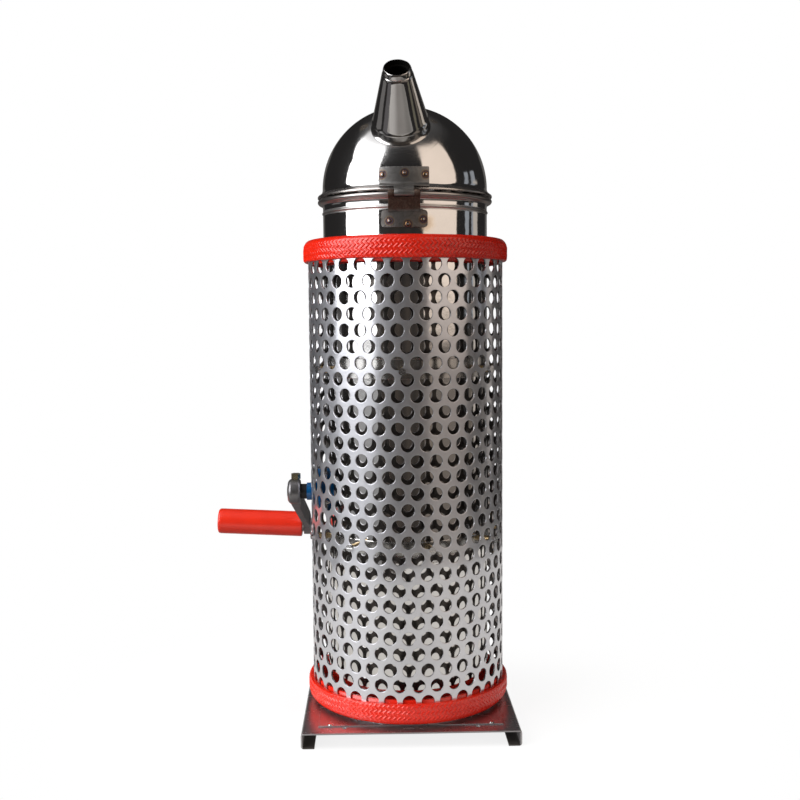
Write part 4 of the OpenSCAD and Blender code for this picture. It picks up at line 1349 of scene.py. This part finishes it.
# ---------------------------------------------------------------- base
def build_base_plate():
    """Sheet folded down along both sides (x = +-82), with its feet turned inwards."""
    bend_out, bend_in = 2.2, 1.0
    bend_x = BASE_HALF - bend_out
    bend_z = BASE_TOP - bend_out
    foot_x = BASE_HALF - 10
    under = BASE_TOP - BASE_SHEET

    def mirrored(points):
        return [(-x, z) for x, z in points[::-1]]

    outer = ([(foot_x, 0.0)] + arc(bend_x, bend_out, bend_out, -90, 0, 6)
             + arc(bend_x, bend_z, bend_out, 0, 90, 8))
    inner = ([(foot_x, BASE_SHEET)] + arc(bend_x, bend_out, bend_in, -90, 0, 5)
             + arc(bend_x, bend_z, bend_in, 0, 90, 6))
    # right foot, over the top to the left foot, then back along the inside
    outline = (outer + line((bend_x, BASE_TOP), (-bend_x, BASE_TOP), 40)[1:-1]
               + mirrored(outer) + mirrored(inner)[::-1]
               + line((-bend_x, under), (bend_x, under), 40)[1:-1] + inner[::-1])
    rows = 24
    stations = []
    for j in range(rows + 1):
        y = -BASE_HALF + 2 * BASE_HALF * j / rows
        station = []
        for x, z in outline:
            sag = 0.10 * waver(x / 60, y / 60, 0.3) if z > BASE_TOP - 2 * BASE_SHEET else 0.0
            station.append((x, y, z + sag))
        stations.append(station)
    ob = sweep("base_plate_bent", stations, MATS["base"])
    for x in (-50, 50):
        for y in (-72, 72):
            drill(ob, radius=1.6, centre=(x, y, 11), axis=(0, 0, 1), length=8, segments=32)
    sharpen(ob, 40)
    bevel(ob, width=0.15)
    install(ob, "chassis", "base_plate")


def build_seat_plate():
    """Thin plate the lower can stands on, with softened edges."""
    bm = bmesh.new()
    bmesh.ops.create_grid(bm, x_segments=24, y_segments=24, size=69.5)
    bmesh.ops.translate(bm, verts=bm.verts, vec=(0, 0, BASE_TOP + 0.8))
    for vert in bm.verts:
        vert.co.z += 0.05 * waver(vert.co.x / 40, vert.co.y / 40, 2.0)
    extruded = bmesh.ops.extrude_face_region(bm, geom=bm.faces[:])
    for item in extruded["geom"]:
        if isinstance(item, bmesh.types.BMVert):
            item.co.z = BASE_TOP + 0.02
    bmesh.ops.scale(bm, vec=(MM, MM, MM), verts=bm.verts)
    ob = object_from(bm, "base_seat_plate", MATS["base"])
    fix_normals(ob)
    sharpen(ob, 40)
    bevel(ob, width=0.2)
    install(ob, "chassis", "base_doubler")


build_cage()
build_trim("bottom_trim_moulding", "bottom_trim", leg=16.2, on_top=False)
build_trim("top_trim_moulding", "top_trim", leg=16.9, on_top=True)
build_fire_can()
build_fan_can()
build_lower_can()
build_band("lower_band_ring", "lower_band", low=140.0, high=150.0, ease=0.25)
build_band("upper_band_ring", "upper_band", low=272.0, high=287.0, ease=0.3)
build_dome()
build_spout_cone()
build_spout_collar()
build_lower_leaf()
build_upper_leaf()
build_rivets("lower", LOWER_RIVETS, radii=(1.75, 2.0, 1.7), body="chassis")
build_rivets("upper", UPPER_RIVETS, radii=(1.9, 1.75, 2.0), body="lid")
build_grip()
build_grip_cap()
build_crank_arm()
build_base_plate()
build_seat_plate()


# ---------------------------------------------------------------- studio
# position over elevations -30 to 90 degrees, brightness of the softbox
SOFTBOX_LEVELS = [(0.08, 0), (0.16, 0.06), (0.226, 0.085), (0.255, 0.62), (0.283, 0.94),
                  (0.33, 1), (0.645, 1), (0.672, 0.36), (0.70, 0.24), (0.75, 0.155),
                  (0.83, 0.075), (0.95, 0)]
# azimuths, elevations, colour of small things that only the spout catches
SMALL_PATCHES = [(-120, -100, -21, 0, (0.16, 0.155, 0.155)),
                 (-93, -58, -46, -25, (0.12, 0.115, 0.12)),
                 (79, 89, -27, -15, (0.14, 0.13, 0.10)),
                 (99, 107, -14, -2, (0.14, 0.12, 0.10)),
                 (110, 121, -8, 9, (0.52, 0.47, 0.42))]


def softbox(net, azimuth, elevation):
    """Left softbox: its far edge leans away and softens with height."""
    high = net.math("MAXIMUM", elevation - 32.0, 0.0)
    edge = -87.0 - high * 0.9
    blur = 2.0 + high * 0.35
    far = net.math("MAXIMUM", (azimuth - edge) / blur + 0.5, 0.0)
    side = (net.math("MINIMUM", far, 1.0)
            * net.remap(azimuth, over=(-37.2, -34.8), to=(1, 0), smooth=True))
    level = net.ramp(net.remap(elevation, over=(-30, 90)), SOFTBOX_LEVELS)
    return side * net.xyz(level)[0]


def build_world():
    """A dark room painted by direction, which the camera itself sees as white."""
    world = bpy.data.worlds.new("studio")
    bpy.context.scene.world = world
    world.use_nodes = True
    net = Net(world.node_tree, "ShaderNodeOutputWorld")
    x, y, z = net.xyz(net.source("ShaderNodeTexCoord", "Generated"))
    azimuth = net.azimuth(x, y)
    elevation = net.math("ARCSINE", z) * 57.29578

    soft = softbox(net, azimuth, elevation)
    warm = net.band(azimuth, 26, 76, soft=(1.2, 1.4)) * (
        net.remap(elevation, over=(-3, 2), to=(0.15, 1), smooth=True)
        * net.band(elevation, -22, 54, soft=(1.2, 4)))
    panes = net.math("MAXIMUM", net.band(azimuth, 92, 100, soft=(0.8, 0.8)),
                     net.band(azimuth, 106, 116, soft=(0.8, 0.8)))
    window = panes * net.band(elevation, 0, 17, soft=(0.8, 0.8))
    back = (net.remap(abs(azimuth), over=(148, 156), smooth=True)
            * net.band(elevation, -30, 17, soft=(2, 1.5)))
    # the ceiling is brightest above azimuth -100
    swing = 0.5 + net.math("COSINE", (azimuth + 100.0) * 0.0174533) * 0.5
    ceiling = net.remap(elevation, over=(45, 75), smooth=True) * (0.05 + swing * 0.24)
    stripes = 0.7 + net.math("SINE", azimuth * 0.42) * 0.3
    front = (net.remap(elevation, over=(-2, 8), to=(1, 0), smooth=True)
             * net.remap(abs(azimuth), over=(34, 44), to=(1, 0), smooth=True)) * stripes

    colour = net.mix(front, (0.020, 0.019, 0.019), (0.060, 0.049, 0.041))
    colour = net.vmath("ADD", colour, net.vector(ceiling, ceiling * 0.98, ceiling * 0.98))
    colour = net.mix(back, colour, (0.12, 0.115, 0.11))
    colour = net.mix(window, colour, (0.30, 0.32, 0.35))
    colour = net.mix(warm, colour, (0.96, 0.81, 0.69))
    glow = net.vmath("MULTIPLY", (4.3, 4.3, 4.36), net.vector(soft, soft, soft))
    colour = net.vmath("ADD", colour, glow)
    for left, right, low, high, tone in SMALL_PATCHES:
        patch = (net.band(azimuth, left, right, soft=(1.5, 1.5))
                 * net.band(elevation, low, high, soft=(2, 2)))
        colour = net.mix(patch, colour, tone)
    seen = net.source("ShaderNodeLightPath", "Is Camera Ray")
    colour = net.mix(seen, colour, (1.0, 1.0, 1.0))
    net.surface(net.shader("ShaderNodeBackground", colour))


def floor_material():
    """Plain and pale to the camera, with a painted shadow under the base; in reflections, a grey
    table that ends 0.6 m out and glows with painted light and shade.
    """
    net = material_net("pale_floor")
    flat = net.vmath("MULTIPLY", net.coord, (1, 1, 0))
    x, y, _ = net.xyz(flat)
    distance = net.vmath("LENGTH", flat)
    steep = abs(net.xyz(net.source("ShaderNodeNewGeometry", "Incoming"))[2])

    grain = net.noise(scale=220, detail=3, rough=0.6)
    pale = net.mix(grain * 0.05, (0.94, 0.94, 0.94), (0.88, 0.88, 0.88))
    seen = net.mix_shader(
        net.remap(distance, over=(0.10, 0.30), to=(0.82, 1), smooth=True),
        net.shader("ShaderNodeBsdfDiffuse", pale),
        net.shader("ShaderNodeEmission", (1, 1, 1)))
    # painted shadow: the ground under the base glows near-black to the camera
    under = net.remap(abs(x), over=mm(74, 78), to=(1, 0)) * (
        net.remap(y, over=mm(-53, -50)) * net.remap(y, over=mm(74, 78), to=(1, 0)))
    seen = net.mix_shader(under, seen, net.shader("ShaderNodeEmission", (0.01, 0.009, 0.008)))

    # painted light: in reflections the table glows with its lit tone, brighter at grazing angles
    # as a painted sheen
    tone = net.ramp(steep, [
        (0.40, (0.68, 0.655, 0.62)), (0.50, (0.60, 0.58, 0.55)), (0.57, (0.52, 0.50, 0.475)),
        (0.66, (0.36, 0.345, 0.33)), (0.72, (0.30, 0.285, 0.272)), (0.84, (0.255, 0.24, 0.23))])
    azimuth = net.azimuth(x, y)
    # painted light and shade: seen from above, the table is lighter on the left and darker on the
    # right
    painted_light = (net.remap(azimuth, over=(-8, -44), to=(0, 0.20), smooth=True)
            * net.remap(azimuth, over=(-62, -56)))
    down = net.remap(steep, over=(0.50, 0.62))
    painted_light = painted_light * down
    tone = net.vmath("ADD", tone, net.vector(painted_light, painted_light, painted_light))
    shade = down * net.remap(azimuth, over=(20, 56), to=(0, 0.40), smooth=True)
    tone = net.mix(shade, tone, (0.0, 0.0, 0.0))
    end = net.remap(x, over=(-0.05, 0.05), to=(0, 0.05))
    reflected = net.mix_shader(
        net.remap(distance - end, over=(0.585, 0.605)),
        net.shader("ShaderNodeEmission", tone),
        net.shader("ShaderNodeBsdfTransparent"))
    camera_ray = net.source("ShaderNodeLightPath", "Is Camera Ray")
    net.surface(net.mix_shader(camera_ray, reflected, seen))
    return net.material


def area(name, location, target, size, power, only, size_y=None):
    """An area light for the objects in only. Metres, with heights from the ground."""
    light = bpy.data.lights.new(name, "AREA")
    light.shape = "RECTANGLE"
    light.size = size
    light.size_y = size_y or size
    light.energy = power
    ob = bpy.data.objects.new(name, light)
    bpy.context.scene.collection.objects.link(ob)
    ob.location = Vector(location) - Vector((0, 0, ORIGIN_Z))
    aim = Vector(target) - Vector(location)
    ob.rotation_euler = aim.to_track_quat("-Z", "Y").to_euler()
    ob.visible_glossy = False
    ob.visible_camera = False
    group = bpy.data.collections.new(name + "_receivers")
    for receiver in only:
        group.objects.link(receiver)
    ob.light_linking.receiver_collection = group


def wearing(material):
    return [ob for ob in bpy.data.objects
            if ob.type == "MESH" and ob.data.materials and ob.data.materials[0] == material]


def build_stage():
    material = floor_material()
    bm = bmesh.new()
    bmesh.ops.create_grid(bm, x_segments=40, y_segments=40, size=4.0)
    floor = object_from(bm, "floor_sheet", material)
    floor.location = (0, 0, -ORIGIN_Z - 0.0002)
    area("overhead", location=(0.0, -0.1, 1.7), target=(0, 0, 0), size=1.6, power=30.0,
         only=[floor])
    area("left_fill", location=(-0.80, -0.30, 0.34), target=(0, 0, 0.30), size=0.6, size_y=0.26,
         power=2.2, only=wearing(MATS["trim"]))
    area("grip_key", location=(-0.35, -0.35, 0.80), target=(-0.12, -0.03, 0.15), size=0.4,
         power=2.2, only=wearing(MATS["grip"]))


def build_camera():
    """In front of the object, a little to the left, looking slightly down."""
    data = bpy.data.cameras.new("camera")
    data.lens = 47.759
    data.sensor_width = 36.0
    data.clip_start = 0.01
    data.clip_end = 50
    camera = bpy.data.objects.new("camera", data)
    bpy.context.scene.collection.objects.link(camera)
    heading, pitch, roll = math.radians(-1.3002), math.radians(90) - 0.07808, -0.00757
    camera.matrix_world = (Matrix.Translation((-0.02412, -0.84463, 0.31779 - ORIGIN_Z))
                           @ Matrix.Rotation(heading, 4, "Z") @ Matrix.Rotation(pitch, 4, "X")
                           @ Matrix.Rotation(roll, 4, "Z"))
    bpy.context.scene.camera = camera


build_world()
build_stage()
build_camera()
bpy.context.scene.view_settings.view_transform = "Standard"
